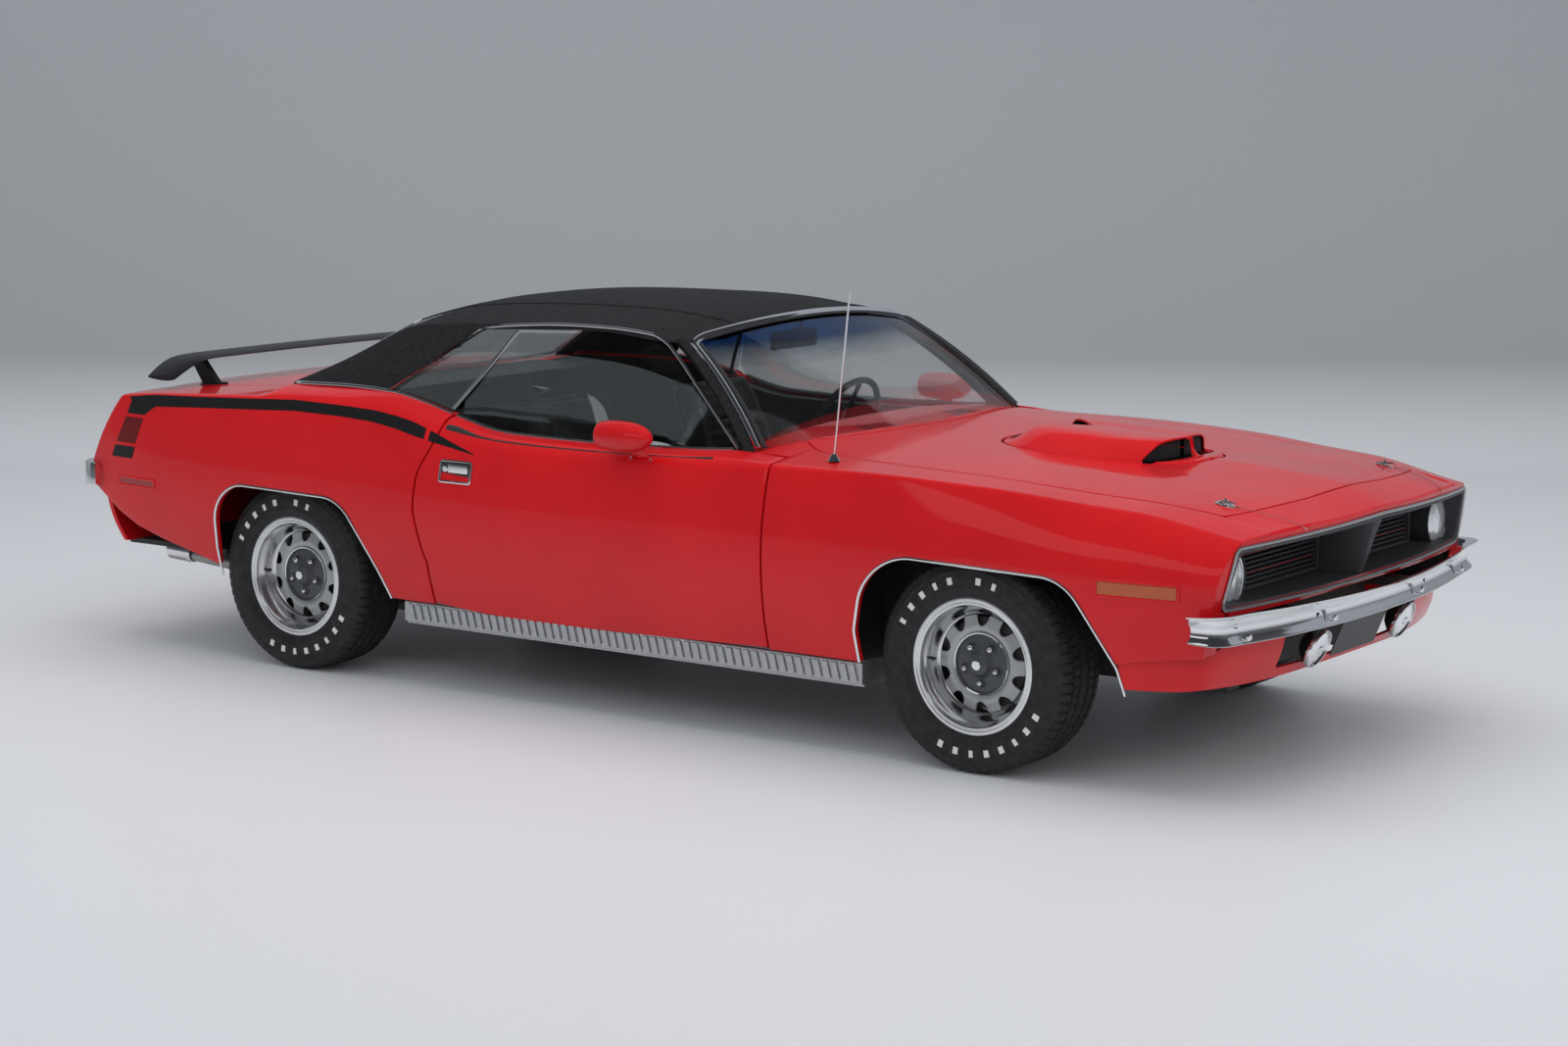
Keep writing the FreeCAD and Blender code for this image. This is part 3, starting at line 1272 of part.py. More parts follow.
make_body()
os.makedirs("parts", exist_ok=True)
for name, shape in shapes.items():
    shape.exportStep("parts/" + name + ".step")
    print(name, len(shape.Solids), shape.isValid(), round(shape.Volume / 1e6, 2))
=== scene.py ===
import bmesh
import bpy
import json
import math
from mathutils import Matrix, Vector
from mathutils.bvhtree import BVHTree
from mathutils.geometry import delaunay_2d_cdt


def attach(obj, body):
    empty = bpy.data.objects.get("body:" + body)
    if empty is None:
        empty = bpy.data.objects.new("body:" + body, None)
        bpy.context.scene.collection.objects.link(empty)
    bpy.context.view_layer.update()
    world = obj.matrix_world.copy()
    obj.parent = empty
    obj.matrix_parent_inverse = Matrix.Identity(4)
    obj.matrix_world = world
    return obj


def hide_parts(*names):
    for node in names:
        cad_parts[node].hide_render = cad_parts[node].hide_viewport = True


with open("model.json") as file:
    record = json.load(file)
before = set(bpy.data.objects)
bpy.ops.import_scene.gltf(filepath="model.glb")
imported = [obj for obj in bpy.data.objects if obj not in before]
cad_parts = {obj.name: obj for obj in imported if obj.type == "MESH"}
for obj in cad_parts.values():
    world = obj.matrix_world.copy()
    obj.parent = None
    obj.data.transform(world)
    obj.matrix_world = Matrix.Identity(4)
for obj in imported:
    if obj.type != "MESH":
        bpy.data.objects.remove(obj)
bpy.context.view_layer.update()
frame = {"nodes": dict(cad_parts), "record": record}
nodes = frame["nodes"]

mm = 0.001
frontAxle = 1.4287          # row x of the front axle; stations are counted from it in mm
tyreRadius = 326            # in mm, and the height of the wheels' middles


def rowX(station):
    return frontAxle + station * mm


# stage: camera as fitted to the photo, soft studio light, pale floor

cameraFit = {"place": (6.2968, -8.7210, 2.1401), "azimuth": 35.244, "elevation": 8.548, "roll": 0.193,
             "lens": 72.91, "sensor": 36.0}
studio = {"floorColour": (0.72, 0.73, 0.75), "wallLow": (0.15, 0.15, 0.16), "wallHigh": (0.04, 0.04, 0.045),
          "fill": 0.78, "behind": 5.2, "cove": 2.6, "wallTop": 11.0, "spread": 34.0,
          "softboxes": [("overhead", (0.3, -0.4, 4.8), (0, 0, 0), (7.5, 4.6), 120, False),
                        ("sideBox", (1.5, -7.5, 4.6), (56, 0, 8), (9.0, 2.0), 42, True),
                        ("frontBox", (8.0, -1.0, 4.2), (58, 0, 98), (5.0, 1.8), 40, False),
                        ("backBox", (-2.0, 4.4, 5.4), (-38, 0, 24), (8.0, 1.6), 50, False)]}


def makeCamera(fit):
    azimuth, elevation, roll = (math.radians(fit[key]) for key in ("azimuth", "elevation", "roll"))
    back = Vector((math.sin(azimuth) * math.cos(elevation), -math.cos(azimuth) * math.cos(elevation),
                   math.sin(elevation)))
    right = Vector((math.cos(azimuth), math.sin(azimuth), 0))
    up = back.cross(right)
    across = right * math.cos(roll) + up * math.sin(roll)
    upward = up * math.cos(roll) - right * math.sin(roll)
    data = bpy.data.cameras.new("camera")
    data.lens = fit["lens"]
    data.sensor_width = fit["sensor"]
    camera = bpy.data.objects.new("camera", data)
    bpy.context.scene.collection.objects.link(camera)
    turn = Matrix((across, upward, back)).transposed().to_4x4()
    camera.matrix_world = Matrix.Translation(fit["place"]) @ turn
    bpy.context.scene.camera = camera


def makeStudio(s):
    bpy.context.scene.view_settings.view_transform = "Standard"
    for name, place, turn, size, power, mirrored in s["softboxes"]:
        lamp = bpy.data.lights.new(name, "AREA")
        lamp.shape = "RECTANGLE"
        lamp.size, lamp.size_y = size
        lamp.energy = power
        holder = bpy.data.objects.new(name, lamp)
        holder.location = place
        holder.rotation_euler = [math.radians(a) for a in turn]
        holder.visible_glossy = mirrored
        bpy.context.scene.collection.objects.link(holder)
    world = bpy.data.worlds.new("studio")
    bpy.context.scene.world = world
    world.use_nodes = True
    tree = world.node_tree
    tree.nodes.clear()
    out = tree.nodes.new("ShaderNodeOutputWorld")
    seen = tree.nodes.new("ShaderNodeBackground")
    light = tree.nodes.new("ShaderNodeBackground")
    light.inputs["Color"].default_value = (0.93, 0.96, 1.0, 1)
    light.inputs["Strength"].default_value = s["fill"]
    seen.inputs["Strength"].default_value = 1.0
    coords = tree.nodes.new("ShaderNodeTexCoord")
    axes = tree.nodes.new("ShaderNodeSeparateXYZ")
    shade = tree.nodes.new("ShaderNodeValToRGB")
    shade.color_ramp.elements[0].color = (*s["wallLow"], 1)
    shade.color_ramp.elements[0].position = 0.0
    shade.color_ramp.elements[1].color = (*s["wallHigh"], 1)
    shade.color_ramp.elements[1].position = 0.4
    path = tree.nodes.new("ShaderNodeLightPath")
    either = tree.nodes.new("ShaderNodeMath")
    either.operation = "MAXIMUM"
    also = tree.nodes.new("ShaderNodeMath")
    also.operation = "MAXIMUM"
    mix = tree.nodes.new("ShaderNodeMixShader")
    link = tree.links.new
    link(coords.outputs["Generated"], axes.inputs[0])
    link(axes.outputs["Z"], shade.inputs["Fac"])
    link(shade.outputs["Color"], seen.inputs["Color"])
    link(path.outputs["Is Camera Ray"], either.inputs[0])
    link(path.outputs["Is Glossy Ray"], either.inputs[1])
    link(either.outputs[0], also.inputs[0])
    link(path.outputs["Is Transmission Ray"], also.inputs[1])
    link(also.outputs[0], mix.inputs["Fac"])
    link(light.outputs[0], mix.inputs[1])
    link(seen.outputs[0], mix.inputs[2])
    link(mix.outputs[0], out.inputs["Surface"])
    azimuth = math.radians(cameraFit["azimuth"])
    away = Vector((-math.sin(azimuth), math.cos(azimuth), 0))
    across = Vector((math.cos(azimuth), math.sin(azimuth), 0))
    profile = [(-s["spread"], 0.0), (s["behind"], 0.0)]
    for k in range(1, 25):
        a = math.pi / 2 * k / 24
        profile.append((s["behind"] + s["cove"] * math.sin(a), s["cove"] * (1 - math.cos(a))))
    profile.append((s["behind"] + s["cove"], s["wallTop"]))
    verts, faces = [], []
    for u, z in profile:
        for v in (-s["spread"], s["spread"]):
            p = away * u + across * v
            verts.append((p.x, p.y, z))
    for k in range(len(profile) - 1):
        faces.append((k * 2, k * 2 + 1, k * 2 + 3, k * 2 + 2))
    mesh = meshOf("floor", verts, faces)
    mesh.shade_smooth()
    floor = bpy.data.objects.new("floor", mesh)
    bpy.context.scene.collection.objects.link(floor)
    backdrop = finishOf("studio_floor", s["floorColour"], {"Roughness": 0.42, "Specular IOR Level": 0.35})
    height = addNode(backdrop, "ShaderNodeSeparateXYZ")
    wire(backdrop, objectCoords(backdrop), height.inputs[0])
    ramp = addNode(backdrop, "ShaderNodeValToRGB")
    ramp.color_ramp.elements[0].color = (*s["floorColour"], 1)
    ramp.color_ramp.elements[0].position = 0.004
    ramp.color_ramp.elements[1].color = (0.52, 0.54, 0.57, 1)
    foot = ramp.color_ramp.elements.new(0.10)
    foot.color = (0.37, 0.38, 0.39, 1)
    wire(backdrop, remapped(backdrop, height.outputs["Z"], 0.0, 4.5, 0.0, 1.0), ramp.inputs["Fac"])
    feed(backdrop, ramp.outputs["Color"], "Base Color")
    side = addNode(backdrop, "ShaderNodeNewGeometry")  # the wall can be looked through from behind
    rays = addNode(backdrop, "ShaderNodeLightPath")
    hidden = addNode(backdrop, "ShaderNodeMath", {"operation": "MULTIPLY"})
    shown = addNode(backdrop, "ShaderNodeMath", {"operation": "SUBTRACT"}, {0: 1.0})
    wire(backdrop, side.outputs["Backfacing"], hidden.inputs[0])
    wire(backdrop, rays.outputs["Is Camera Ray"], hidden.inputs[1])
    wire(backdrop, hidden.outputs[0], shown.inputs[1])
    feed(backdrop, shown.outputs[0], "Alpha")
    mesh.materials.append(backdrop)


# finishes

finishes = {}


def finishOf(name, colour, sockets=None):
    material = bpy.data.materials.new(name)
    material.use_nodes = True
    shader = material.node_tree.nodes["Principled BSDF"]
    shader.inputs["Base Color"].default_value = (*colour, 1)
    for key, value in (sockets or {}).items():
        shader.inputs[key].default_value = value
    material.diffuse_color = (*colour, 1)
    finishes[name] = material
    return material


def addNode(material, kind, settings=None, sockets=None):
    node = material.node_tree.nodes.new(kind)
    for key, value in (settings or {}).items():
        setattr(node, key, value)
    for key, value in (sockets or {}).items():
        node.inputs[key].default_value = value
    return node


def wire(material, source, target):
    material.node_tree.links.new(source, target)


def objectCoords(material, stretch=(1, 1, 1)):
    coords = addNode(material, "ShaderNodeTexCoord")
    mapping = addNode(material, "ShaderNodeMapping", None, {"Scale": stretch})
    wire(material, coords.outputs["Object"], mapping.inputs["Vector"])
    return mapping.outputs["Vector"]


def noiseOn(material, scale, detail=3.0, rough=0.5, stretch=(1, 1, 1)):
    noise = addNode(material, "ShaderNodeTexNoise", None, {"Scale": scale, "Detail": detail, "Roughness": rough})
    wire(material, objectCoords(material, stretch), noise.inputs["Vector"])
    return noise.outputs["Fac"]


def cellsOn(material, scale, feature="F1", stretch=(1, 1, 1)):
    cells = addNode(material, "ShaderNodeTexVoronoi", {"feature": feature}, {"Scale": scale})
    wire(material, objectCoords(material, stretch), cells.inputs["Vector"])
    return cells.outputs["Distance"]


def remapped(material, source, fromLow, fromHigh, toLow, toHigh):
    node = addNode(material, "ShaderNodeMapRange", None, {"From Min": fromLow, "From Max": fromHigh,
                                                          "To Min": toLow, "To Max": toHigh})
    wire(material, source, node.inputs["Value"])
    return node.outputs["Result"]


def blended(material, fac, first, second):
    node = addNode(material, "ShaderNodeMix", {"data_type": "RGBA"})
    node.inputs[6].default_value = (*first, 1)
    node.inputs[7].default_value = (*second, 1)
    wire(material, fac, node.inputs[0])
    return node.outputs[2]


def feed(material, source, socket):
    wire(material, source, material.node_tree.nodes["Principled BSDF"].inputs[socket])


def bumped(material, height, strength, distance, socket="Normal"):
    node = addNode(material, "ShaderNodeBump", None, {"Strength": strength, "Distance": distance})
    wire(material, height, node.inputs["Height"])
    feed(material, node.outputs["Normal"], socket)
    return node


def makeFinishes():
    paint = finishOf("red_paint", (0.60, 0.004, 0.008),
                     {"Roughness": 0.42, "Specular IOR Level": 0.15, "Coat Weight": 0.75, "Coat Roughness": 0.03,
                      "Coat IOR": 1.42})
    feed(paint, blended(paint, remapped(paint, noiseOn(paint, 3.2, 2.0), 0.3, 0.7, 0, 1),
                        (0.64, 0.005, 0.008), (0.57, 0.003, 0.007)), "Base Color")
    bumped(paint, noiseOn(paint, 420.0, 1.0), 0.05, 0.0004, "Coat Normal")

    satin = finishOf("satin_black", (0.012, 0.012, 0.013), {"Roughness": 0.42, "Specular IOR Level": 0.3})
    feed(satin, remapped(satin, noiseOn(satin, 900.0, 2.0), 0.3, 0.7, 0.36, 0.50), "Roughness")
    bumped(satin, noiseOn(satin, 1400.0, 2.0), 0.10, 0.0003)

    vinyl = finishOf("black_vinyl", (0.016, 0.016, 0.017), {"Roughness": 0.62, "Specular IOR Level": 0.28})
    grain = cellsOn(vinyl, 190.0, "F1")
    folds = noiseOn(vinyl, 95.0, 4.0, 0.6)
    feed(vinyl, blended(vinyl, remapped(vinyl, folds, 0.35, 0.7, 0, 1), (0.010, 0.010, 0.011),
                        (0.024, 0.023, 0.025)), "Base Color")
    feed(vinyl, remapped(vinyl, grain, 0.0, 0.6, 0.52, 0.74), "Roughness")
    first = addNode(vinyl, "ShaderNodeBump", None, {"Strength": 0.55, "Distance": 0.0014})
    wire(vinyl, grain, first.inputs["Height"])
    second = bumped(vinyl, folds, 0.35, 0.0016)
    wire(vinyl, first.outputs["Normal"], second.inputs["Normal"])

    chrome = finishOf("chrome", (0.86, 0.87, 0.88), {"Metallic": 1.0, "Roughness": 0.05})
    feed(chrome, remapped(chrome, noiseOn(chrome, 14.0, 3.0), 0.3, 0.75, 0.03, 0.09), "Roughness")

    silver = finishOf("silver_trim", (0.50, 0.51, 0.52), {"Metallic": 0.85, "Roughness": 0.36})
    feed(silver, remapped(silver, noiseOn(silver, 60.0, 3.0), 0.3, 0.7, 0.30, 0.44), "Roughness")

    cavity = finishOf("grille_plastic", (0.050, 0.051, 0.055), {"Roughness": 0.55})
    flecks = noiseOn(cavity, 1500.0, 2.0, 0.7)
    feed(cavity, blended(cavity, remapped(cavity, flecks, 0.45, 0.75, 0, 1), (0.030, 0.031, 0.034),
                         (0.13, 0.13, 0.14)), "Base Color")
    bumped(cavity, flecks, 0.35, 0.0006)

    lamp = finishOf("lamp_glass", (0.92, 0.93, 0.95), {"Roughness": 0.06, "Metallic": 0.55, "Coat Weight": 1.0})
    bumped(lamp, cellsOn(lamp, 70.0, "F1", (0.3, 1, 0.5)), 0.45, 0.003)

    lens = finishOf("tail_lens", (0.30, 0.006, 0.008), {"Roughness": 0.12, "Coat Weight": 0.6})
    bumped(lens, cellsOn(lens, 320.0), 0.2, 0.0006)

    pane = finishOf("window_glass", (0.60, 0.68, 0.66), {"Roughness": 0.0, "IOR": 1.30,
                                                         "Transmission Weight": 1.0, "Alpha": 0.34})
    tinted = finishOf("tinted_glass", (0.62, 0.70, 0.69), {"Roughness": 0.0, "IOR": 1.28,
                                                           "Transmission Weight": 1.0, "Alpha": 0.3})
    height = addNode(tinted, "ShaderNodeSeparateXYZ")
    wire(tinted, objectCoords(tinted), height.inputs[0])
    band = remapped(tinted, height.outputs["Z"], 1.12, 1.19, 0, 1)
    feed(tinted, blended(tinted, band, (0.62, 0.70, 0.69), (0.004, 0.06, 0.22)), "Base Color")
    feed(tinted, remapped(tinted, height.outputs["Z"], 1.12, 1.20, 0.3, 0.95), "Alpha")

    wheel = finishOf("wheel_silver", (0.42, 0.43, 0.44), {"Metallic": 0.55, "Roughness": 0.38})
    feed(wheel, remapped(wheel, noiseOn(wheel, 260.0, 3.0), 0.3, 0.7, 0.32, 0.46), "Roughness")

    rubber = finishOf("tyre_rubber", (0.018, 0.018, 0.019), {"Roughness": 0.62, "Specular IOR Level": 0.35})
    feed(rubber, blended(rubber, remapped(rubber, noiseOn(rubber, 40.0, 4.0), 0.35, 0.7, 0, 1),
                         (0.014, 0.014, 0.015), (0.027, 0.027, 0.028)), "Base Color")
    bumped(rubber, noiseOn(rubber, 600.0, 3.0), 0.15, 0.0005)

    under = finishOf("underbody", (0.030, 0.030, 0.032), {"Roughness": 0.7})
    feed(under, blended(under, noiseOn(under, 9.0, 5.0, 0.6), (0.020, 0.020, 0.021), (0.055, 0.053, 0.050)),
         "Base Color")
    bumped(under, noiseOn(under, 160.0, 4.0), 0.3, 0.001)

    iron = finishOf("forged_iron", (0.07, 0.07, 0.072), {"Roughness": 0.6, "Metallic": 0.4})
    bumped(iron, noiseOn(iron, 300.0, 4.0), 0.3, 0.0008)
    feed(iron, remapped(iron, noiseOn(iron, 25.0, 3.0), 0.3, 0.7, 0.5, 0.75), "Roughness")

    seat = finishOf("seat_vinyl", (0.026, 0.026, 0.028), {"Roughness": 0.46, "Sheen Weight": 0.1})
    pores = cellsOn(seat, 520.0)
    feed(seat, remapped(seat, pores, 0.0, 0.6, 0.36, 0.56), "Roughness")
    bumped(seat, pores, 0.35, 0.0006)

    cabin = finishOf("cabin_plastic", (0.024, 0.024, 0.026), {"Roughness": 0.5})
    bumped(cabin, cellsOn(cabin, 480.0), 0.3, 0.0005)

    pipe = finishOf("pipe_steel", (0.40, 0.39, 0.37), {"Metallic": 1.0, "Roughness": 0.35})
    feed(pipe, remapped(pipe, noiseOn(pipe, 30.0, 4.0, 0.6, (1, 6, 6)), 0.3, 0.7, 0.28, 0.55), "Roughness")

    plate = finishOf("plate_dark", (0.045, 0.045, 0.047), {"Roughness": 0.45})
    bumped(plate, noiseOn(plate, 500.0, 2.0), 0.08, 0.0003)

    bright = finishOf("wheel_chrome", (0.78, 0.79, 0.80), {"Metallic": 1.0, "Roughness": 0.16})
    feed(bright, remapped(bright, noiseOn(bright, 40.0, 3.0, 0.6, (1, 8, 1)), 0.3, 0.7, 0.12, 0.26), "Roughness")
    centre = finishOf("wheel_centre", (0.085, 0.09, 0.098), {"Metallic": 0.4, "Roughness": 0.42})
    bumped(centre, noiseOn(centre, 700.0, 2.0), 0.08, 0.0003)
    finishOf("white_rubber", (0.70, 0.70, 0.68), {"Roughness": 0.6})
    amber = finishOf("amber_lens", (0.42, 0.075, 0.012), {"Roughness": 0.12, "Coat Weight": 0.6})
    bumped(amber, cellsOn(amber, 300.0), 0.2, 0.0006)


darkNodes = {"engine_bay": "underbody", "windshield": "tinted_glass", "rear_deck": "cabin_plastic"}


def dress(name, material):
    mesh = nodes[name].data
    mesh.materials.clear()
    mesh.materials.append(material)


# body lines, by station in mm ahead (+) or behind (-) of the front axle

def curve(*points):
    points = sorted(points)
    xs = [p[0] for p in points]
    ys = [p[1] for p in points]
    last = len(xs) - 1
    slopes = []
    for i in range(last + 1):
        a, b = max(i - 1, 0), min(i + 1, last)
        slopes.append((ys[b] - ys[a]) / (xs[b] - xs[a]))

    def value(x):
        if x <= xs[0]:
            return ys[0] + slopes[0] * (x - xs[0])
        if x >= xs[last]:
            return ys[last] + slopes[last] * (x - xs[last])
        i = max(k for k in range(last) if xs[k] <= x)
        h = xs[i + 1] - xs[i]
        t = (x - xs[i]) / h
        return ((2 * t**3 - 3 * t**2 + 1) * ys[i] + (t**3 - 2 * t**2 + t) * h * slopes[i]
                + (3 * t**2 - 2 * t**3) * ys[i + 1] + (t**3 - t**2) * h * slopes[i + 1])
    return value


waistY = curve((905, 826), (740, 860), (500, 894), (200, 916), (0, 924), (-300, 932),
               (-720, 938), (-1300, 941), (-2000, 946), (-2743, 951), (-3200, 936),
               (-3500, 908), (-3700, 874), (-3790, 852))
waistZ = curve((905, 640), (0, 610), (-1300, 590), (-2743, 620), (-3790, 640))
footY = curve((905, 800), (526, 868), (0, 886), (-380, 892), (-2220, 892), (-3100, 886), (-3790, 846))
shoulderY = curve((905, 772), (743, 780), (529, 803), (316, 826), (18, 858), (-319, 877),
                  (-722, 890), (-1300, 896), (-1900, 896), (-2400, 893), (-2900, 888),
                  (-3300, 878), (-3576, 866), (-3790, 842))
shoulderZ = curve((905, 748), (817, 764), (743, 778), (629, 803), (528, 821), (316, 838),
                  (170, 852), (18, 863), (-319, 875), (-722, 874), (-1077, 868),
                  (-1470, 862), (-1797, 866), (-2029, 885), (-2176, 905), (-2353, 932),
                  (-2488, 944), (-2717, 949), (-3194, 927), (-3447, 913), (-3576, 901),
                  (-3790, 880))
centreZ = curve((905, 772), (785, 827), (500, 861), (308, 873), (0, 890), (-380, 906),
                (-650, 922), (-860, 940), (-2860, 958), (-3200, 942), (-3500, 922), (-3700, 905))
beltY = curve((-760, 788), (-905, 792), (-1104, 805), (-1493, 812), (-2050, 815),
              (-2340, 806), (-2716, 792), (-2820, 788))
beltZ = curve((-760, 904), (-905, 897), (-1104, 886), (-1493, 879), (-1797, 883),
              (-1902, 893), (-2050, 928), (-2200, 964), (-2340, 985), (-2716, 983), (-2820, 981))
hoodEdge = curve((690, 636), (500, 672), (110, 712), (-405, 722), (-620, 700), (-700, 664), (-776, 596))
deckEdge = curve((-2880, 596), (-3100, 622), (-3500, 632), (-3650, 628))
hoodFront = curve((0, 785), (300, 771), (520, 738), (640, 700))
hoodRear = curve((0, -668), (300, -692), (500, -737), (596, -776))
creaseRadius = curve((905, 9), (500, 8), (0, 8), (-400, 11), (-722, 19), (-1100, 30), (-1500, 38),
                     (-2000, 38), (-2400, 27), (-2900, 20), (-3600, 14))
crown = 2.6
ridge = curve((-100, 0), (150, 4), (374, 11), (740, 11), (905, 9))
sillTop = 300.0
panelGap = 6.0


def sideY(station, z):
    waist, mid = waistY(station), waistZ(station)
    if z >= mid:
        t = (z - mid) / (shoulderZ(station) - mid)
        return waist - (waist - shoulderY(station)) * t * t
    t = (mid - z) / (mid - sillTop)
    return waist - (waist - footY(station)) * t * t


def topZ(station, y):
    t = min(abs(y) / shoulderY(station), 1.0)
    peak = max(ridge(station), 0) * max(1 - abs(y) / 260, 0) if station > -100 else 0
    return centreZ(station) - (centreZ(station) - shoulderZ(station)) * t ** crown + peak


def quarterTop(station, y):
    def strip(inner, high):
        t = min(max((shoulderY(station) - y) / (shoulderY(station) - inner), 0.0), 1.0)
        return shoulderZ(station) + (high - shoulderZ(station)) * (1 - (1 - t) ** 1.6)
    behind = min(max((-2835 - station) / 50, 0.0), 1.0)
    belt = strip(beltY(station), beltZ(station)) if behind < 1 else 0
    fore = min(max((station + 925) / 190, 0.0), 1.0)
    if fore > 0:
        return belt * (1 - fore) + topZ(station, y) * fore
    deck = strip(deckEdge(station), topZ(station, deckEdge(station))) if behind > 0 else 0
    return belt * (1 - behind) + deck * behind


def spread(a, b, n):
    return [a + (b - a) * i / (n - 1) for i in range(n)]


def rounded(points, step=8.0):
    # an open line through (a, b) or (a, b, corner radius) points, its corners turned into arcs
    line = []
    for i, p in enumerate(points):
        if len(p) < 3 or i in (0, len(points) - 1):
            line.append(Vector(p[:2]))
            continue
        corner = Vector(p[:2])
        a = (Vector(points[i - 1][:2]) - corner).normalized()
        b = (Vector(points[i + 1][:2]) - corner).normalized()
        half = a.angle(b) / 2
        centre = corner + (a + b).normalized() * p[2] / math.sin(half)
        start = corner + a * p[2] / math.tan(half) - centre
        end = corner + b * p[2] / math.tan(half) - centre
        turn = start.angle_signed(end)
        count = max(int(abs(turn) * p[2] / step), 2)
        for k in range(count + 1):
            line.append(centre + Matrix.Rotation(-turn * k / count, 2) @ start)
    return line


def inside(point, loop):
    x, y = point
    hit = False
    for (ax, ay), (bx, by) in zip(loop, loop[1:] + loop[:1]):
        if (ay > y) != (by > y) and x < (bx - ax) * (y - ay) / (by - ay) + ax:
            hit = not hit
    return hit


def crossings(loop, columns, rows):
    # the loop with a point added wherever it crosses a line of the grid
    dense = []
    for a, b in zip(loop, loop[1:] + loop[:1]):
        cuts = [0.0]
        for axis, lines in ((0, columns), (1, rows)):
            low, high = sorted((a[axis], b[axis]))
            if high - low > 1e-6:
                cuts += [(v - a[axis]) / (b[axis] - a[axis]) for v in lines if low < v < high]
        for t in sorted(cuts):
            p = (a[0] + (b[0] - a[0]) * t, a[1] + (b[1] - a[1]) * t)
            if not dense or math.dist(p, dense[-1]) > 1.2:
                dense.append(p)
    if math.dist(dense[0], dense[-1]) < 1.2:
        dense.pop()
    return dense


def sheetMesh(name, loops, lift, facing, columns, rows, wall=18.0, radius=2.4, back=None):
    # a closed panel over a grid trimmed by loops of (a, b) points, with rolled edges all round
    loops = [crossings([tuple(p) for p in loop], columns, rows) for loop in loops]
    points, edges = [], []
    for loop in loops:
        first = len(points)
        points += loop
        count = len(loop)
        edges += [(first + i, first + (i + 1) % count) for i in range(count)]
    borders = [(points[a], points[b]) for a, b in edges]
    stepA = columns[1] - columns[0]
    buckets = {}
    for a, b in borders:
        for k in range(int(min(a[0], b[0]) // stepA) - 1, int(max(a[0], b[0]) // stepA) + 2):
            buckets.setdefault(k, []).append((a, b))
    for a in columns:
        near = buckets.get(int(a // stepA), [])
        for j, b in enumerate(rows):
            gap = min(rows[j] - rows[j - 1] if j else 99, rows[j + 1] - rows[j] if j + 1 < len(rows) else 99)
            reach = min(stepA, gap) * 0.45
            if sum(inside((a, b), loop) for loop in loops) % 2 == 0:
                continue
            if all(gapTo((a, b), p, q) > reach for p, q in near) or not near:
                points.append((a, b))
    flat = delaunay_2d_cdt([Vector(p) for p in points], edges, [], 1, 1e-4)
    spots, faces = flat[0], []
    for f in flat[2]:
        middle = tuple(sum(spots[i][axis] for i in f) / len(f) for axis in (0, 1))
        if sum(inside(middle, loop) for loop in loops) % 2:
            faces.append(f)
    top, normals = [], []
    for p in spots:
        here = lift(*p)
        du, dv = lift(p[0] + 0.5, p[1]) - lift(p[0] - 0.5, p[1]), lift(p[0], p[1] + 0.5) - lift(p[0], p[1] - 0.5)
        normal = du.cross(dv).normalized()
        if normal.dot(Vector(facing)) < 0:
            normal.negate()
        top.append(here)
        normals.append(normal)
    verts = [Vector(v) for v in top]
    sign = 0.0
    for f in faces[:200]:
        a, b, c = (top[i] for i in f[:3])
        sign += (b - a).cross(c - a).dot(normals[f[0]])
    if sign < 0:
        faces = [list(reversed(f)) for f in faces]
    depth = wall * mm
    r = radius * mm
    inner = [v - n * depth if back is None else back(v, n) for v, n in zip(top, normals)]
    bend = [math.radians(a) for a in (30, 60, 90)]
    allFaces = [tuple(f) for f in faces]
    offset = len(verts)
    verts += inner
    allFaces += [tuple(offset + i for i in reversed(f)) for f in faces]
    used = set()
    for f in faces:
        for a, b in zip(f, list(f[1:]) + [f[0]]):
            used.add((a, b))
    rimEdges = [(a, b) for a, b in used if (b, a) not in used]
    nextOf, prevOf = {a: b for a, b in rimEdges}, {b: a for a, b in rimEdges}
    ringOf = {}
    for v in nextOf:
        tangent = (top[nextOf[v]] - top[prevOf[v]]).normalized()
        out = tangent.cross(normals[v]).normalized()
        base = top[v] - out * r
        verts[v] = base
        ring = [v]
        for angle in bend:
            ring.append(len(verts))
            verts.append(base + out * r * math.sin(angle) - normals[v] * r * (1 - math.cos(angle)))
        ring.append(offset + v)
        ringOf[v] = ring
    for a, b in rimEdges:
        for k in range(len(bend) + 1):
            allFaces.append((ringOf[b][k], ringOf[a][k], ringOf[a][k + 1], ringOf[b][k + 1]))
    mesh = meshOf(name, verts, allFaces)
    for i in range(len(faces), len(faces) * 2):
        mesh.polygons[i].material_index = 1
    return mesh


def gapTo(p, a, b):
    dx, dy = b[0] - a[0], b[1] - a[1]
    size = dx * dx + dy * dy
    t = 0 if size == 0 else min(max(((p[0] - a[0]) * dx + (p[1] - a[1]) * dy) / size, 0), 1)
    return math.hypot(p[0] - a[0] - dx * t, p[1] - a[1] - dy * t)


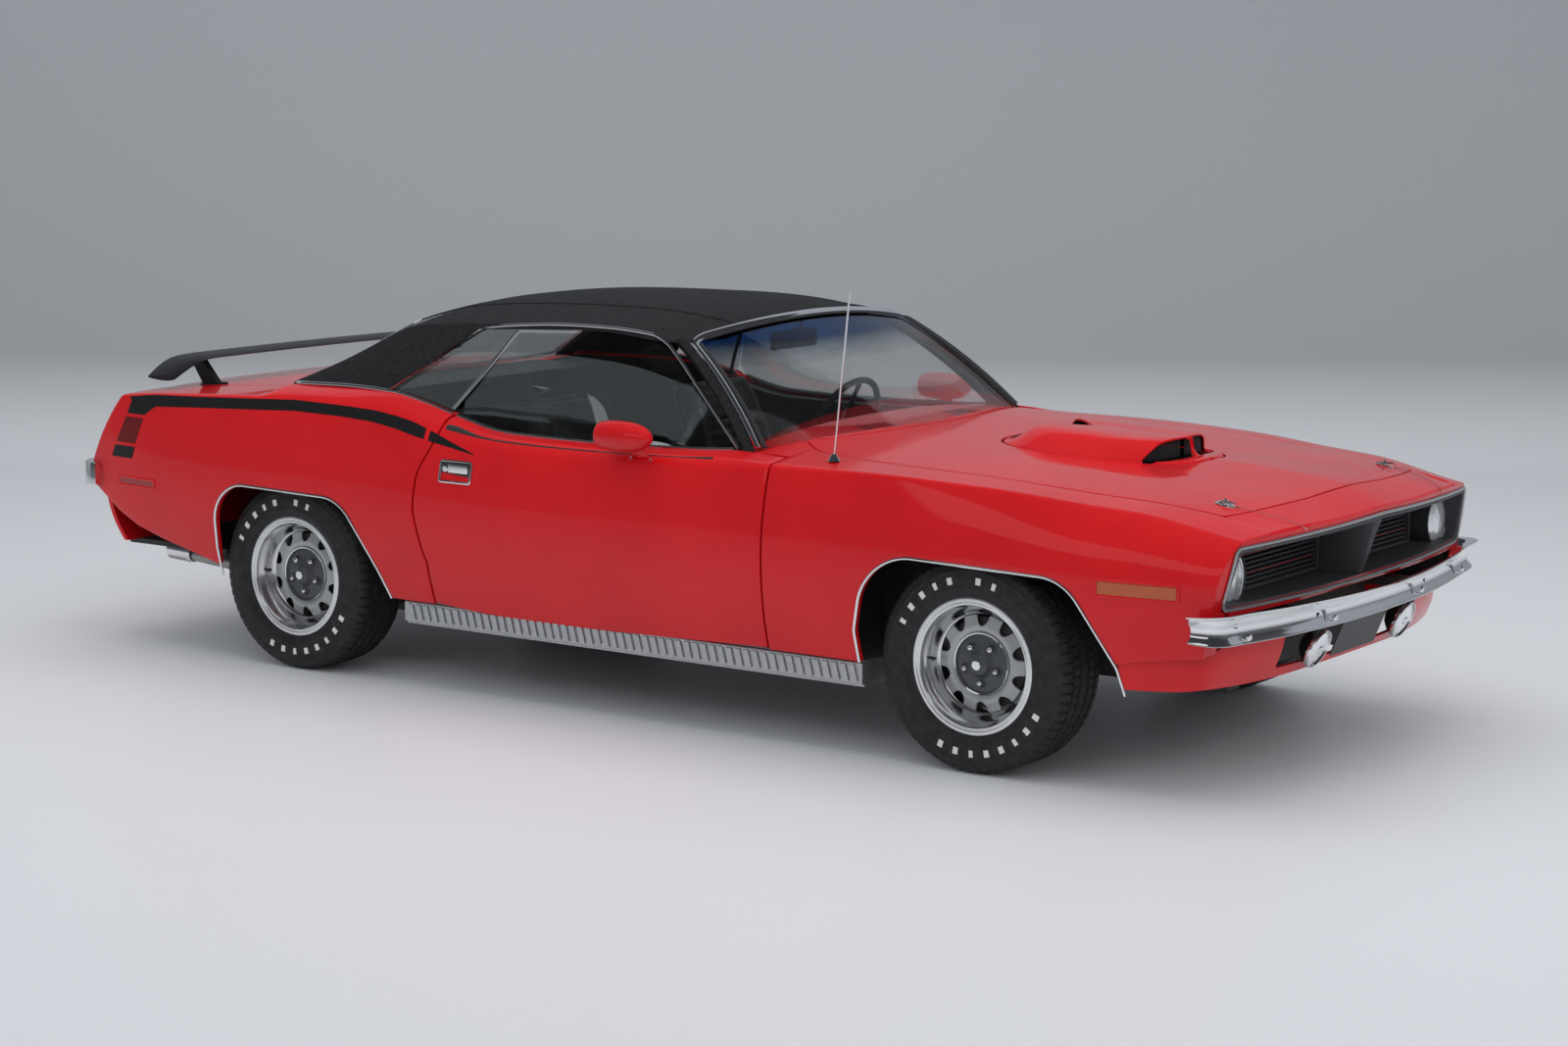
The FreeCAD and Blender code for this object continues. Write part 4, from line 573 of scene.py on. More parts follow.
def bodyPoint(station, t, top, lifted=0.0):
    # the left side by height below (t < 0) and distance inward (t > 0) from the shoulder
    r = creaseRadius(station)
    edgeY, edgeZ = shoulderY(station), shoulderZ(station)

    def side(a):
        return sideY(station, edgeZ + a) + lifted, edgeZ + a

    def deck(a):
        return edgeY - a, top(station, edgeY - a) + lifted

    if t <= -r:
        y, z = side(t)
    elif t >= r:
        y, z = deck(t)
    else:
        (ay, az), (cy, cz) = side(-r), deck(r)
        u = (t + r) / (2 * r)
        y = (1 - u) ** 2 * ay + 2 * u * (1 - u) * (edgeY + lifted) + u * u * cy
        z = (1 - u) ** 2 * az + 2 * u * (1 - u) * (edgeZ + lifted) + u * u * cz
    return Vector((rowX(station), y * mm, z * mm))


def onSide(points):
    # (station, height) points of the side as (station, t)
    return [(s, z - shoulderZ(s)) for s, z in points]


def onTop(points):
    # (station, half width) points of the strip as (station, t)
    return [(s, shoulderY(s) - y) for s, y in points]


def between(points, low, high):
    # the stretch of an open (a, b) line whose b lies between two values, cut there exactly
    kept = []
    for (a0, b0), (a1, b1) in zip(points, points[1:]):
        ts = [0.0, 1.0] + [(v - b0) / (b1 - b0) for v in (low, high) if min(b0, b1) < v < max(b0, b1)]
        for t in sorted(ts):
            b = b0 + (b1 - b0) * t
            if low - 1e-6 <= b <= high + 1e-6:
                p = (a0 + (a1 - a0) * t, b)
                if not kept or math.dist(p, kept[-1]) > 0.05:
                    kept.append(p)
    return kept


def noseStation(y, z):
    t, lean = abs(y) / 800.0, (770.0 - z) / 200.0
    return 905 - 82 * t * t - (66 - 34 * t) * max(lean, 0.0) ** 1.3 - 20 * max(-lean, 0.0)


def plainOf(name, mesh, finish, body, replaced=(), sharp=30.0):
    mesh.materials.append(finishes[finish])
    if any(face.material_index for face in mesh.polygons):
        mesh.materials.append(finishes["underbody"])
    mesh.shade_smooth()
    mesh.set_sharp_from_angle(angle=math.radians(sharp))
    piece = bpy.data.objects.new(name, mesh)
    bpy.context.scene.collection.objects.link(piece)
    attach(piece, body)
    if replaced:
        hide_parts(*replaced)
    return piece


def mirroredMesh(mesh, name):
    other = meshOf(name, [(v.co.x, -v.co.y, v.co.z) for v in mesh.vertices],
                   [tuple(reversed(p.vertices)) for p in mesh.polygons])
    for face, source in zip(other.polygons, mesh.polygons):
        face.material_index = source.material_index
    return other


def bothSides(name, mesh, finish, bodies=("body", "body"), replaced=((), ()), sharp=30.0):
    plainOf(name + "Right", mirroredMesh(mesh, name + "Right"), finish, bodies[1], replaced[1], sharp)
    plainOf(name + "Left", mesh, finish, bodies[0], replaced[0], sharp)


# left and right body panels

doors = ("left_door", "right_door")

frontArch = between([tuple(p) for p in rounded([(560, 150), (494, 380, 60), (330, 622, 150), (-330, 642, 190),
                                                (-386, 400, 60), (-372, 150)])], 300, 900)
rearArch = between([tuple(p) for p in rounded([(-2223, 150), (-2313, 400, 80), (-2453, 624, 150),
                                               (-3043, 636, 150), (-3065, 400, 60), (-3077, 150)])], 300, 900)
doorRear = [tuple(p) for p in rounded([(-2050, 990), (-2050, 868, 60), (-2118, 740, 160), (-2128, 620, 120),
                                       (-2090, 470, 200), (-1990, 280)])]
tailEdge = [(-3552, 925), (-3630, 834), (-3680, 760), (-3742, 650), (-3716, 560), (-3587, 484),
            (-3483, 437), (-3355, 403), (-3200, 368), (-3077, 337)]
sideRows = (spread(-600, -60, 28) + [-48, -38, -30, -23, -18, -14, -11, -8, -5.5, -3, -1, 1, 3, 5.5, 8, 11, 14,
                                    18, 23, 30, 38, 48] + spread(62, 320, 14))


def noseEdge(z):
    # where the fender's side meets the nose
    s = 830.0
    for _ in range(8):
        s = noseStation(sideY(s, min(z, shoulderZ(s))), z)
    return s


def fenderLoop():
    low = min(frontArch, key=lambda p: abs(p[0] - 480) + abs(p[1] - 430))
    arch = frontArch[frontArch.index(low):][::-1]
    front = []
    for z in spread(430, 742, 14) + spread(746, 766, 5):
        s = noseEdge(z)
        if z < shoulderZ(s) - 1:
            front.append((s, z - shoulderZ(s)))
    across = [(noseStation(y, 768), y) for y in spread(774, 642, 8)]
    inner = [(s, 642) for s in (820, 780, 740)] + [(s, hoodEdge(s) + panelGap) for s in spread(690, -700, 30)]
    inner.append((-716, hoodEdge(-716) + panelGap))
    loop = onSide([(-716, 300)] + arch) + front + onTop(across + inner)
    return loop + [(-716, 0.0)]


def doorLoop():
    rear = [(s, z) for s, z in doorRear if 306 < z < shoulderZ(s) - 1]
    top = [(-2050 + 14 * (896 - y) / 156, y) for y in spread(884, 817, 5)]
    belt = [(s, beltY(s) + 1) for s in spread(-2020, -940, 24)]
    bottom = [(rear[-1][0] + 3, 306), (-723, 306)]
    notch = [(-934, beltY(-934) + 1), (-934, 801.5), (-723, 801.5)]
    return onSide(rear[::-1]) + onTop(top + belt + notch) + onSide(bottom[::-1])


def quarterLoop():
    front = [(s - 8, z) for s, z in doorRear if 300 < z < shoulderZ(s) - 1]
    front.append((front[-1][0] + 3, 300))
    inner = [(s, beltY(s) - 28) for s in spread(-2058, -2832, 24)] + [(-2845, 745), (-2862, 680), (-2880, 604)]
    inner += [(s, deckEdge(s) + panelGap) for s in spread(-2900, -3540, 18)]
    top = [(-2058, y) for y in spread(886, 790, 6)]
    tail = [(-3552 - 78 * (925 - quarterTop(-3560, y)) / 91, y) for y in spread(640, 856, 8)]
    side = [(s, z) for s, z in tailEdge if z < shoulderZ(s) - 4]
    arch = between(rearArch[::-1], 300, 900)
    arch = [p for p in arch if not (p[0] < -3000 and p[1] < 338)]
    return onSide(front[::-1]) + onTop(top + inner + tail) + onSide(side + arch)


def makeSidePanels():
    def fenderAt(s, t):
        return bodyPoint(s, t, topZ)

    def quarterAt(s, t):
        return bodyPoint(s, t, quarterTop)

    out = (0, 0.8, 0.6)
    mesh = sheetMesh("fenderLeft", [fenderLoop()], fenderAt, out, spread(-720, 910, 66), sideRows)
    bothSides("fender", mesh, "red_paint", replaced=(("fender_left",), ("fender_right",)))
    mesh = sheetMesh("quarterLeft", [quarterLoop()], quarterAt, out, spread(-3780, -1980, 72), sideRows)
    bothSides("quarter", mesh, "red_paint", replaced=(("quarter_left",), ("quarter_right",)))
    mesh = sheetMesh("doorLeft", [doorLoop()], quarterAt, out, spread(-2150, -720, 57), sideRows)
    bothSides("door", mesh, "red_paint", doors, (("door_left",), ("door_right",)))


def makeLids():
    def topAt(s, y):
        return Vector((rowX(s), y * mm, topZ(s, y) * mm))

    half = [(hoodFront(y), y) for y in spread(1, 632, 12)]
    half += [(s, hoodEdge(s)) for s in spread(690, -700, 34)]
    half += [(hoodRear(y), y) for y in spread(600, 1, 12)]
    loop = half + [(s, -y) for s, y in half[::-1]]
    columns = spread(-790, 800, 80)
    rows = spread(-720, -30, 28) + [-18, -9, -3.5, 0, 3.5, 9, 18] + spread(30, 720, 28)
    hole = scoopRing(6.5, 72)  # the scoop's outline with its running gap
    mesh = sheetMesh("hoodPanel", [loop, hole], topAt, (0, 0, 1), columns, rows, 20.0)
    plainOf("hoodPanel", mesh, "red_paint", "hood", ("hood",), 3.4)
    half = [(-2884, 1), (-2884, 300), (-2884, deckEdge(-2884))]
    half += [(s, deckEdge(s)) for s in spread(-2900, -3560, 20)] + [(-3575, 600), (-3620, 300), (-3632, 1)]
    loop = half[::-1] + [(s, -y) for s, y in half]
    mesh = sheetMesh("deckPanel", [loop], topAt, (0, 0, 1), spread(-3640, -2880, 40),
                     spread(-640, 640, 44), 20.0)
    plainOf("deckPanel", mesh, "red_paint", "deck", ("deck_lid",), 30)


# carried and turned shapes

def smoothLine(points, step=12.0):
    # a line through the points with evenly rounded bends
    line = []
    pts = [Vector(p) for p in points]
    for i in range(len(pts) - 1):
        p0, p1, p2, p3 = pts[max(i - 1, 0)], pts[i], pts[i + 1], pts[min(i + 2, len(pts) - 1)]
        count = max(int((p2 - p1).length / step), 1)
        for k in range(count):
            t = k / count
            line.append(0.5 * (2 * p1 + (p2 - p0) * t + (2 * p0 - 5 * p1 + 4 * p2 - p3) * t * t
                               + (3 * p1 - p0 - 3 * p2 + p3) * t * t * t))
    return line + [pts[-1]]


def place(p):
    return Vector((rowX(p[0]), p[1] * mm, p[2] * mm))


def meshOf(name, verts, faces):
    mesh = bpy.data.meshes.new(name)
    mesh.from_pydata([tuple(v) for v in verts], [], faces)
    mesh.update()
    return mesh


def circle(count):
    return [(math.cos(math.tau * k / count), math.sin(math.tau * k / count)) for k in range(count)]


def tubeFaces(rings, n, closed=False):
    # faces between rings of n points, with both ends capped unless the rings close on themselves
    faces = []
    for i in range(rings if closed else rings - 1):
        j = (i + 1) % rings
        faces += [(i * n + k, i * n + (k + 1) % n, j * n + (k + 1) % n, j * n + k) for k in range(n)]
    if not closed:
        faces += [tuple(range(n))[::-1], tuple((rings - 1) * n + k for k in range(n))]
    return faces


def gridFaces(rows, columns, first=0):
    return [(m, m + 1, m + columns + 1, m + columns) for i in range(rows - 1)
            for m in range(first + i * columns, first + (i + 1) * columns - 1)]


def sweepMesh(name, path, section, out=(0, 0, 1), closed=False):
    # (across, out) section points carried along a path of (station, y, z), in mm
    pts = [place(p) for p in path]
    count = len(pts)
    outs = out if isinstance(out, list) else [out] * count
    verts = []
    for i, p in enumerate(pts):
        a = pts[(i - 1) % count] if closed or i else p
        b = pts[(i + 1) % count] if closed or i < count - 1 else p
        along = (b - a).normalized()
        upward = Vector(outs[i])
        upward = (upward - along * upward.dot(along)).normalized()
        across = along.cross(upward)
        verts += [p + across * u * mm + upward * v * mm for u, v in section]
    return outward(meshOf(name, verts, tubeFaces(count, len(section), closed)))


def outward(mesh):
    # every closed piece gets its faces turned outward
    work = bmesh.new()
    work.from_mesh(mesh)
    bmesh.ops.recalc_face_normals(work, faces=work.faces)
    work.to_mesh(mesh)
    work.free()
    return mesh


def circleSection(radius, count=10):
    return [(radius * c, radius * s) for c, s in circle(count)]


def trimSection(width, height):
    h = width / 2
    return [(-h, -0.6), (-h, height * 0.45), (-h * 0.66, height * 0.85), (-h * 0.25, height), (h * 0.25, height),
            (h * 0.66, height * 0.85), (h, height * 0.45), (h, -0.6)]


def latheMesh(name, profile, centre, axis, count=96, closed=True, notch=None):
    # (radius, along) points turned about an axis through a centre in (station, y, z)
    c = place(centre)
    along = Vector(axis).normalized()
    side = along.cross(Vector((0, 0, 1))).normalized()
    if side.length < 0.5:
        side = Vector((1, 0, 0))
    up = side.cross(along)
    n = len(profile)
    verts, faces = [], []
    for j in range(count):
        a = math.tau * j / count
        spoke = side * math.sin(a) + up * math.cos(a)
        for i, (r, h) in enumerate(profile):
            if notch:
                r = r - notch(i, j)
            verts.append(c + along * h * mm + spoke * max(r, 0.01) * mm)
    for j in range(count):
        k = (j + 1) % count
        for i in range(n if closed else n - 1):
            m = (i + 1) % n
            faces.append((j * n + i, j * n + m, k * n + m, k * n + i))
    return outward(meshOf(name, verts, faces))


def blockMesh(name, low, high, bevel=1.5):
    # a box between two (station, y, z) corners with rounded edges
    work = bmesh.new()
    bmesh.ops.create_cube(work, size=1.0)
    a, b = place(low), place(high)
    for v in work.verts:
        v.co = Vector([(a[i] + b[i]) / 2 + v.co[i] * abs(b[i] - a[i]) for i in range(3)])
    bmesh.ops.bevel(work, geom=list(work.edges), offset=bevel * mm, segments=3, affect="EDGES", profile=0.5)
    mesh = bpy.data.meshes.new(name)
    work.to_mesh(mesh)
    work.free()
    return outward(mesh)


def joined(name, meshes):
    work = bmesh.new()
    for mesh in meshes:
        work.from_mesh(mesh)
        bpy.data.meshes.remove(mesh)
    mesh = bpy.data.meshes.new(name)
    work.to_mesh(mesh)
    work.free()
    return mesh


# wheels and tyres

wheelFacts = {"face": 99, "slots": 10, "slotHalf": 0.156, "slotDepth": 33, "discRadius": 147, "centre": 92,
              "nutCircle": 57.15, "treadPitch": 3, "treadCount": 396, "bars": (-64, -52, -40, -28, -16, 6, 18,
                                                                              118, 130, 142, 154, 166, 178, 190, 202)}


def tyreMesh(name, x, y, facts):
    groove = 7
    tread = []
    for edge in (-62, -22, 22, 62):
        tread += [(325.6, edge - 5), (tyreRadius - groove, edge - 4),
                  (tyreRadius - groove, edge + 4), (325.6, edge + 5)]
    face = [(324.6, -84), (325.2, -70)] + tread + [(325.2, 70), (324.6, 84)]
    wall = [(321, 93), (314, 102), (313, 103.2), (306, 106), (292, 110.5), (290, 112), (286, 112.4), (284, 111.8),
            (276, 114.2), (262, 115.6), (248, 116), (238, 115), (236, 115.8), (232, 115.6), (230, 114), (220, 109.5),
            (212, 105.5), (207, 102.5), (204, 98), (196, 94), (186, 85)]
    inner = [(186, -72), (196, -86), (204, -96)]
    back = [(r, -h) for r, h in wall[::-1][3:]]
    profile = face + wall + inner + back
    shoulder = {i for i, (r, h) in enumerate(profile) if 66 < abs(h) < 104 and r > 312}
    ribs = {i for i, (r, h) in enumerate(profile) if abs(h) < 66 and r > 322}

    def notch(i, j):
        if i in shoulder and j % (facts["treadPitch"] * 2) == 0:
            return 5.0
        if i in ribs and (j + (3 if profile[i][1] > 0 else 0)) % (facts["treadPitch"] * 2) == 0:
            return 3.4
        return 0.0

    return latheMesh(name, profile, (x, y, tyreRadius), (0, 1, 0), facts["treadCount"], notch=notch)


def wheelMeshes(x, y, facts):
    f = facts["face"]
    c = (x, y, tyreRadius)
    barrel = [(208, f - 2), (208.5, f), (207, f + 2.5), (203, f + 3.6), (197, f + 3.4), (195, f + 1.6), (192, f + 1.4),
              (190, f + 2.4), (186, f + 2), (183, f - 0.5), (181.5, f - 4), (179, f - 10), (175, f - 16), (171, f - 22),
              (166, f - 34), (161, f - 48), (157, f - 56), (153, f - 60), (150, f - 62), (150, f - 68), (158, f - 72),
              (160, 0), (166, -50), (180, -88), (198, -97), (205, -98), (206, -94), (190, -84), (184, -66), (170, -40),
              (166, 0), (166, f - 60), (172, f - 40), (180, f - 22), (187, f - 10), (196, f - 3), (203, f - 3)]
    ring = latheMesh("ring", barrel, c, (0, 1, 0), 128)
    turnsOf = facts["slots"]
    edge = []
    for k in range(360):
        a = math.tau * k / 360
        off = (a * turnsOf / math.tau + 0.5) % 1.0 - 0.5
        d = off * math.tau / turnsOf / facts["slotHalf"]
        cut = facts["slotDepth"] * max(1 - d * d, 0.0) ** 0.5 if abs(d) < 1 else 0
        r = facts["discRadius"] + 1 - cut
        edge.append((r * math.sin(a), r * math.cos(a)))
    hub = [(88 * s, 88 * c) for c, s in circle(64)]

    def dish(a, b):
        r = math.hypot(a, b)
        d = f - 59 + 11 * math.exp(-((r - 112) / 22) ** 2) - 5 * max((96 - r) / 8, 0)
        return Vector((rowX(x) + a * mm, (y + d) * mm, (tyreRadius + b) * mm))

    grid = spread(-149, 149, 44)
    disc = sheetMesh("disc", [edge, hub], dish, (0, 1, 0), grid, grid, 6.0, 3.0)
    middle = [(93, f - 62), (93, f - 55), (90.5, f - 52), (88, f - 52.5), (86, f - 56), (70, f - 54), (44, f - 49),
              (36, f - 42), (32, f - 32), (24, f - 26), (12, f - 23), (0, f - 22), (0, f - 70), (90, f - 70)]
    centre = latheMesh("centre", middle, c, (0, 1, 0), 96)
    rimline = latheMesh("line", [(91, f - 54), (95, f - 50.5), (93.5, f - 47.5), (90, f - 49)], c, (0, 1, 0), 96)
    cap = latheMesh("cap", [(15, f - 25), (15, f - 20), (13, f - 18.6), (0, f - 18), (0, f - 25)], c, (0, 1, 0), 48)
    nuts, pockets = [rimline, cap], [centre]
    for k in range(5):
        a = math.tau * (k + 0.5) / 5
        p = (x + facts["nutCircle"] * math.sin(a), y, tyreRadius + facts["nutCircle"] * math.cos(a))
        nuts.append(latheMesh("nut", [(9.6, f - 56), (9.6, f - 40), (8, f - 37.5), (6, f - 36), (0, f - 35),
                                      (0, f - 56)], p, (0, 1, 0), 6))
        pockets.append(latheMesh("pocket", [(15.5, f - 56), (15.5, f - 50), (14, f - 48.6), (12.5, f - 50),
                                            (12.5, f - 56)], p, (0, 1, 0), 32))
    drum = latheMesh("drum", [(138, -40), (138, f - 78), (130, f - 74), (40, f - 74), (40, -40)], c, (0, 1, 0), 64)
    stem = sweepMesh("stem", [(x - a, y + f - b, tyreRadius) for a, b in ((158, 46), (154, 30), (152, 20))],
                     circleSection(4), (0, 0, 1))
    return ring, disc, joined("pockets", pockets), joined("nuts", nuts), joined("drum", [drum, stem])


def barsMesh(x, y, facts):
    bars = []
    for k, angle in enumerate(facts["bars"]):
        a = math.radians(angle)
        verts, faces = [], []
        for depth in (114.0, 117.2):
            for u in (-1, 0, 1):
                for r in (250, 271):
                    turn = a + u * (8.5 if k % 3 else 6.5) / 262
                    h = depth if r > 260 else depth + 0.4
                    verts.append(place((x + r * math.sin(turn), y + h, tyreRadius + r * math.cos(turn))))
        for i in range(2):
            faces.append((6 + i * 2, 7 + i * 2, 9 + i * 2, 8 + i * 2))
            faces.append((i * 2, i * 2 + 2, i * 2 + 3, i * 2 + 1))
            faces.append((i * 2, 6 + i * 2, 8 + i * 2, i * 2 + 2))
            faces.append((i * 2 + 1, i * 2 + 3, 9 + i * 2, 7 + i * 2))
        faces += [(0, 1, 7, 6), (4, 10, 11, 5)]
        bars.append(outward(meshOf("bar", verts, faces)))
    return joined("bars", bars)


def makeWheels():
    for corner, x, y in (("front", 0, 765), ("rear", -2743, 772)):
        bodies = (corner + "_left_wheel", corner + "_right_wheel")
        rims = (("rim_" + corner + "_left",), ("rim_" + corner + "_right",))
        tyres = (("tyre_" + corner + "_left",), ("tyre_" + corner + "_right",))
        ring, disc, pockets, nuts, drum = wheelMeshes(x, y, wheelFacts)
        bothSides(corner + "TrimRing", ring, "wheel_chrome", bodies, rims, 24)
        bothSides(corner + "WheelDisc", disc, "wheel_silver", bodies, sharp=50)
        bothSides(corner + "WheelCentre", pockets, "wheel_centre", bodies)
        bothSides(corner + "WheelNuts", nuts, "chrome", bodies)
        bothSides(corner + "Drum", drum, "underbody", bodies)
        tyre = tyreMesh("tyre", x, y, wheelFacts)
        bothSides(corner + "Tyre", tyre, "tyre_rubber", bodies, tyres, 40)
        bothSides(corner + "TyreBars", barsMesh(x, y, wheelFacts), "white_rubber", bodies)


# bright mouldings, stripe and small side fittings

sideFacts = {"arch": (9, 5), "belt": (10, 4),
             "stripeTop": ((-3537, 896), (-3412, 912), (-3168, 921), (-2698, 942), (-2472, 937), (-2339, 930),
                           (-2250, 918), (-2165, 903), (-2060, 873), (-1980, 847), (-1889, 819)),
             "stripeLow": ((-3445, 837), (-3389, 871), (-3170, 883), (-2699, 905), (-2473, 901), (-2340, 893),
                           (-2240, 878), (-2165, 862), (-2060, 843), (-1980, 831), (-1889, 816))}


def skinPoint(s, z, lifted=0.0):
    t = z - shoulderZ(s)
    if t > creaseRadius(s):
        t = creaseRadius(s)
    return bodyPoint(s, t, quarterTop if s < -723 else topZ, lifted)


def archMoulding(name, arch):
    path, outs = [], []
    for s, z in arch:
        p = skinPoint(s, z)
        path.append(((p.x - frontAxle) / mm, p.y / mm, z))
        outs.append((0, 1, 0.0))
    return sweepMesh(name, path, [(u - 2.5, v) for u, v in trimSection(*sideFacts["arch"])], outs)


def decal(name, top, low, finish, body, raised=0.7, count=40):
    # a thin sheet on the body side between two (station, z) lines
    verts, rows = [], 5
    for share in spread(0, 1, count):
        a, b = along(top, share), along(low, share)
        for u in spread(0, 1, rows):
            p = (a[0] + (b[0] - a[0]) * u, a[1] + (b[1] - a[1]) * u)
            verts.append(skinPoint(p[0], p[1], raised))
    mesh = solidified(meshOf(name, verts, gridFaces(count, rows)), raised * mm)
    bothSides(name, mesh, finish, (body, body if body == "body" else "right_door"))


def along(line, t):
    # the point at a share of the length of a (a, b) line
    sizes = [math.dist(p, q) for p, q in zip(line, line[1:])]
    want = t * sum(sizes)
    for (p, q), size in zip(zip(line, line[1:]), sizes):
        if want <= size + 1e-9:
            u = want / size
            return p[0] + (q[0] - p[0]) * u, p[1] + (q[1] - p[1]) * u
        want -= size
    return line[-1]


def solidified(mesh, depth):
    # a sheet made closed by a second wall towards the car's middle
    work = bmesh.new()
    work.from_mesh(mesh)
    bmesh.ops.recalc_face_normals(work, faces=work.faces)
    work.faces.ensure_lookup_table()
    if work.faces[0].normal.y < 0:
        bmesh.ops.reverse_faces(work, faces=work.faces)
    bmesh.ops.solidify(work, geom=list(work.faces), thickness=depth)
    bmesh.ops.recalc_face_normals(work, faces=work.faces)
    work.to_mesh(mesh)
    work.free()
    return mesh


def clipLine(line, low, high):
    # the stretch of a (station, z) line between two stations
    flipped = between([(z, s) for s, z in line], low, high)
    return [(s, z) for z, s in flipped]


def makeSideTrim():
    bothSides("frontArchTrim", archMoulding("frontArchTrim", frontArch), "chrome")
    bothSides("rearArchTrim", archMoulding("rearArchTrim", rearArch), "chrome")
    belt = [(s, beltY(s) + 1.5, beltZ(s) + 1) for s in spread(-925, -2044, 40)]
    mesh = sweepMesh("doorBelt", belt, trimSection(*sideFacts["belt"]), (0, 0.8, 0.6))
    bothSides("doorBelt", mesh, "chrome", doors)
    belt = [(s, beltY(s) + 1.5, beltZ(s) + 1) for s in spread(-2060, -2352, 14)]
    bothSides("quarterBelt", sweepMesh("quarterBelt", belt, trimSection(9, 4), (0, 0.8, 0.6)), "chrome")
    drip = smoothLine([(-2365, 790, 990), (-2240, 722, 1085), (-2110, 660, 1180), (-2039, 652, 1207),
                       (-1789, 647, 1229), (-1546, 642, 1232), (-1389, 638, 1222), (-1329, 638, 1209),
                       (-1258, 654, 1167),
                       (-1101, 707, 1040), (-905, 794, 898)])
    bothSides("dripRail", sweepMesh("dripRail", drip, trimSection(11, 7), (0, 1, 0.25)), "chrome")
    strip = [(-1912, 640 + 22, 1200), (-2010, 718, 1058), (-2112, 798, 908)]
    bothSides("quarterGlassStrip", sweepMesh("quarterGlassStrip", smoothLine(strip), trimSection(15, 6), (0, 1, 0.5)),
              "chrome")
    top, low = sideFacts["stripeTop"], sideFacts["stripeLow"]
    decal("stripe", clipLine(top, -3540, -2108), clipLine(low, -3540, -2108), "satin_black", "body", count=60)
    decal("doorStripe", clipLine(top, -2089, -1880), clipLine(low, -2089, -1880), "satin_black", "left_door", count=20)


def makeFittings():
    # flush door handle: a bright frame with a dark well, a paddle and a button; then the side markers
    s0, s1, z0, z1 = -2017, -1889, 723, 790
    y = sideY(-1953, 756)
    frameLine = rounded([(s0 + 20, z0), (s1, z0, 7), (s1, z1, 7), (s0, z1, 7), (s0, z0, 7), (s0 + 20, z0)], 2.0)
    path = [(p[0], sideY(p[0], p[1]) + 1, p[1]) for p in frameLine[:-1]]
    parts = [sweepMesh("frame", path, trimSection(9, 5), (0, 1, 0), closed=True),
             blockMesh("paddle", (s0 + 34, y, z0 + 30), (s1 - 10, y + 6, z1 - 8), 2.5),
             latheMesh("button", [(11, 0), (11, 5), (9, 7), (0, 7.5), (0, 0)], (s0 + 22, y, z0 + 42), (0, 1, 0), 32)]
    well = blockMesh("well", (s0 + 2, y - 4, z0 + 2), (s1 - 2, y + 1.6, z1 - 2), 1)
    bothSides("handleFrame", joined("handleFrame", parts), "chrome", doors)
    bothSides("handleWell", joined("handleWell", [well]), "cabin_plastic", doors)
    for name, a, b, low, high, lens in (("frontMarker", 431, 683, 588, 636, "amber_lens"),
                                        ("rearMarker", -3570, -3369, 582, 612, "tail_lens")):
        path = [(p[0], sideY(p[0], p[1]) + 0.5, p[1]) for p in
                rounded([(a + 20, low), (b, low, 9), (b, high, 9), (a, high, 9), (a, low, 9), (a + 20, low)], 3.0)[:-1]]
        bothSides(name + "Bezel", sweepMesh(name, path, trimSection(10, 4), (0, 1, 0), closed=True), "red_paint")
        verts = [skinPoint(s, z, 1.4) for z in spread(low + 6, high - 6, 4) for s in spread(a + 6, b - 6, 16)]
        mesh = solidified(meshOf(name, verts, gridFaces(4, 16)), 3 * mm)
        bothSides(name, mesh, lens)


# front bumper, grille and lamps

frontFacts = {"bumper": ((738, 900), (765, 899), (790, 893), (808, 878), (818, 852), (824, 810), (832, 744),
                         (859, 575), (882, 380), (896, 200), (901, 0)),
              "bumperHeight": 90, "bumperCentre": 511, "lamp": (771, 719, 643), "lampRadius": 90,
              "insetFrom": 56, "insetTo": 600,
              "fin": ((893, 760, 104), (892, 735, 78), (876, 690, 56), (862, 640, 48), (846, 590, 44), (836, 574, 42))}
rearFacts = {"bumper": ((-3684, 888), (-3720, 884), (-3750, 868), (-3770, 838), (-3779, 790), (-3786, 700),
                        (-3792, 450), (-3797, 200), (-3798, 0)), "bumperHeight": 92, "bumperCentre": 596}


def bumperPath(points):
    half = smoothLine([(s, y, 0) for s, y in points], 14)
    line = [(p.x, p.y) for p in half]
    return line + [(s, -y) for s, y in line[:-1][::-1]]


def crownedProfile(s, y):
    return ([(19 * (1 - abs(t) ** 2.4) - 5 * t - 3, t) for t in spread(-1, 1, 15)]
            + [(-16, 0.98), (-20, 0.86), (-20, -0.86), (-10, -1.0)])


def rolledProfile(s, y):
    # a bright face with a deep roll along its upper edge
    deep = min(max(s - noseStation(y, frontFacts["bumperCentre"] + 44) - 9, 26), 64)
    outer = [(-12, -1.0), (-2, -0.97), (6, -0.88), (12, -0.68), (15.5, -0.4), (16.5, -0.1), (15.5, 0.16), (12, 0.36),
             (5, 0.52), (-4, 0.66), (-0.3 * deep, 0.8), (-0.55 * deep, 0.9), (-0.8 * deep, 0.97), (-deep, 1.0)]
    return outer + [(-deep, 0.9), (-0.6 * deep, 0.8), (-0.36 * deep, 0.66), (-10, 0.46), (2, 0.2), (6, -0.1),
                    (2, -0.6), (-12, -0.9)]


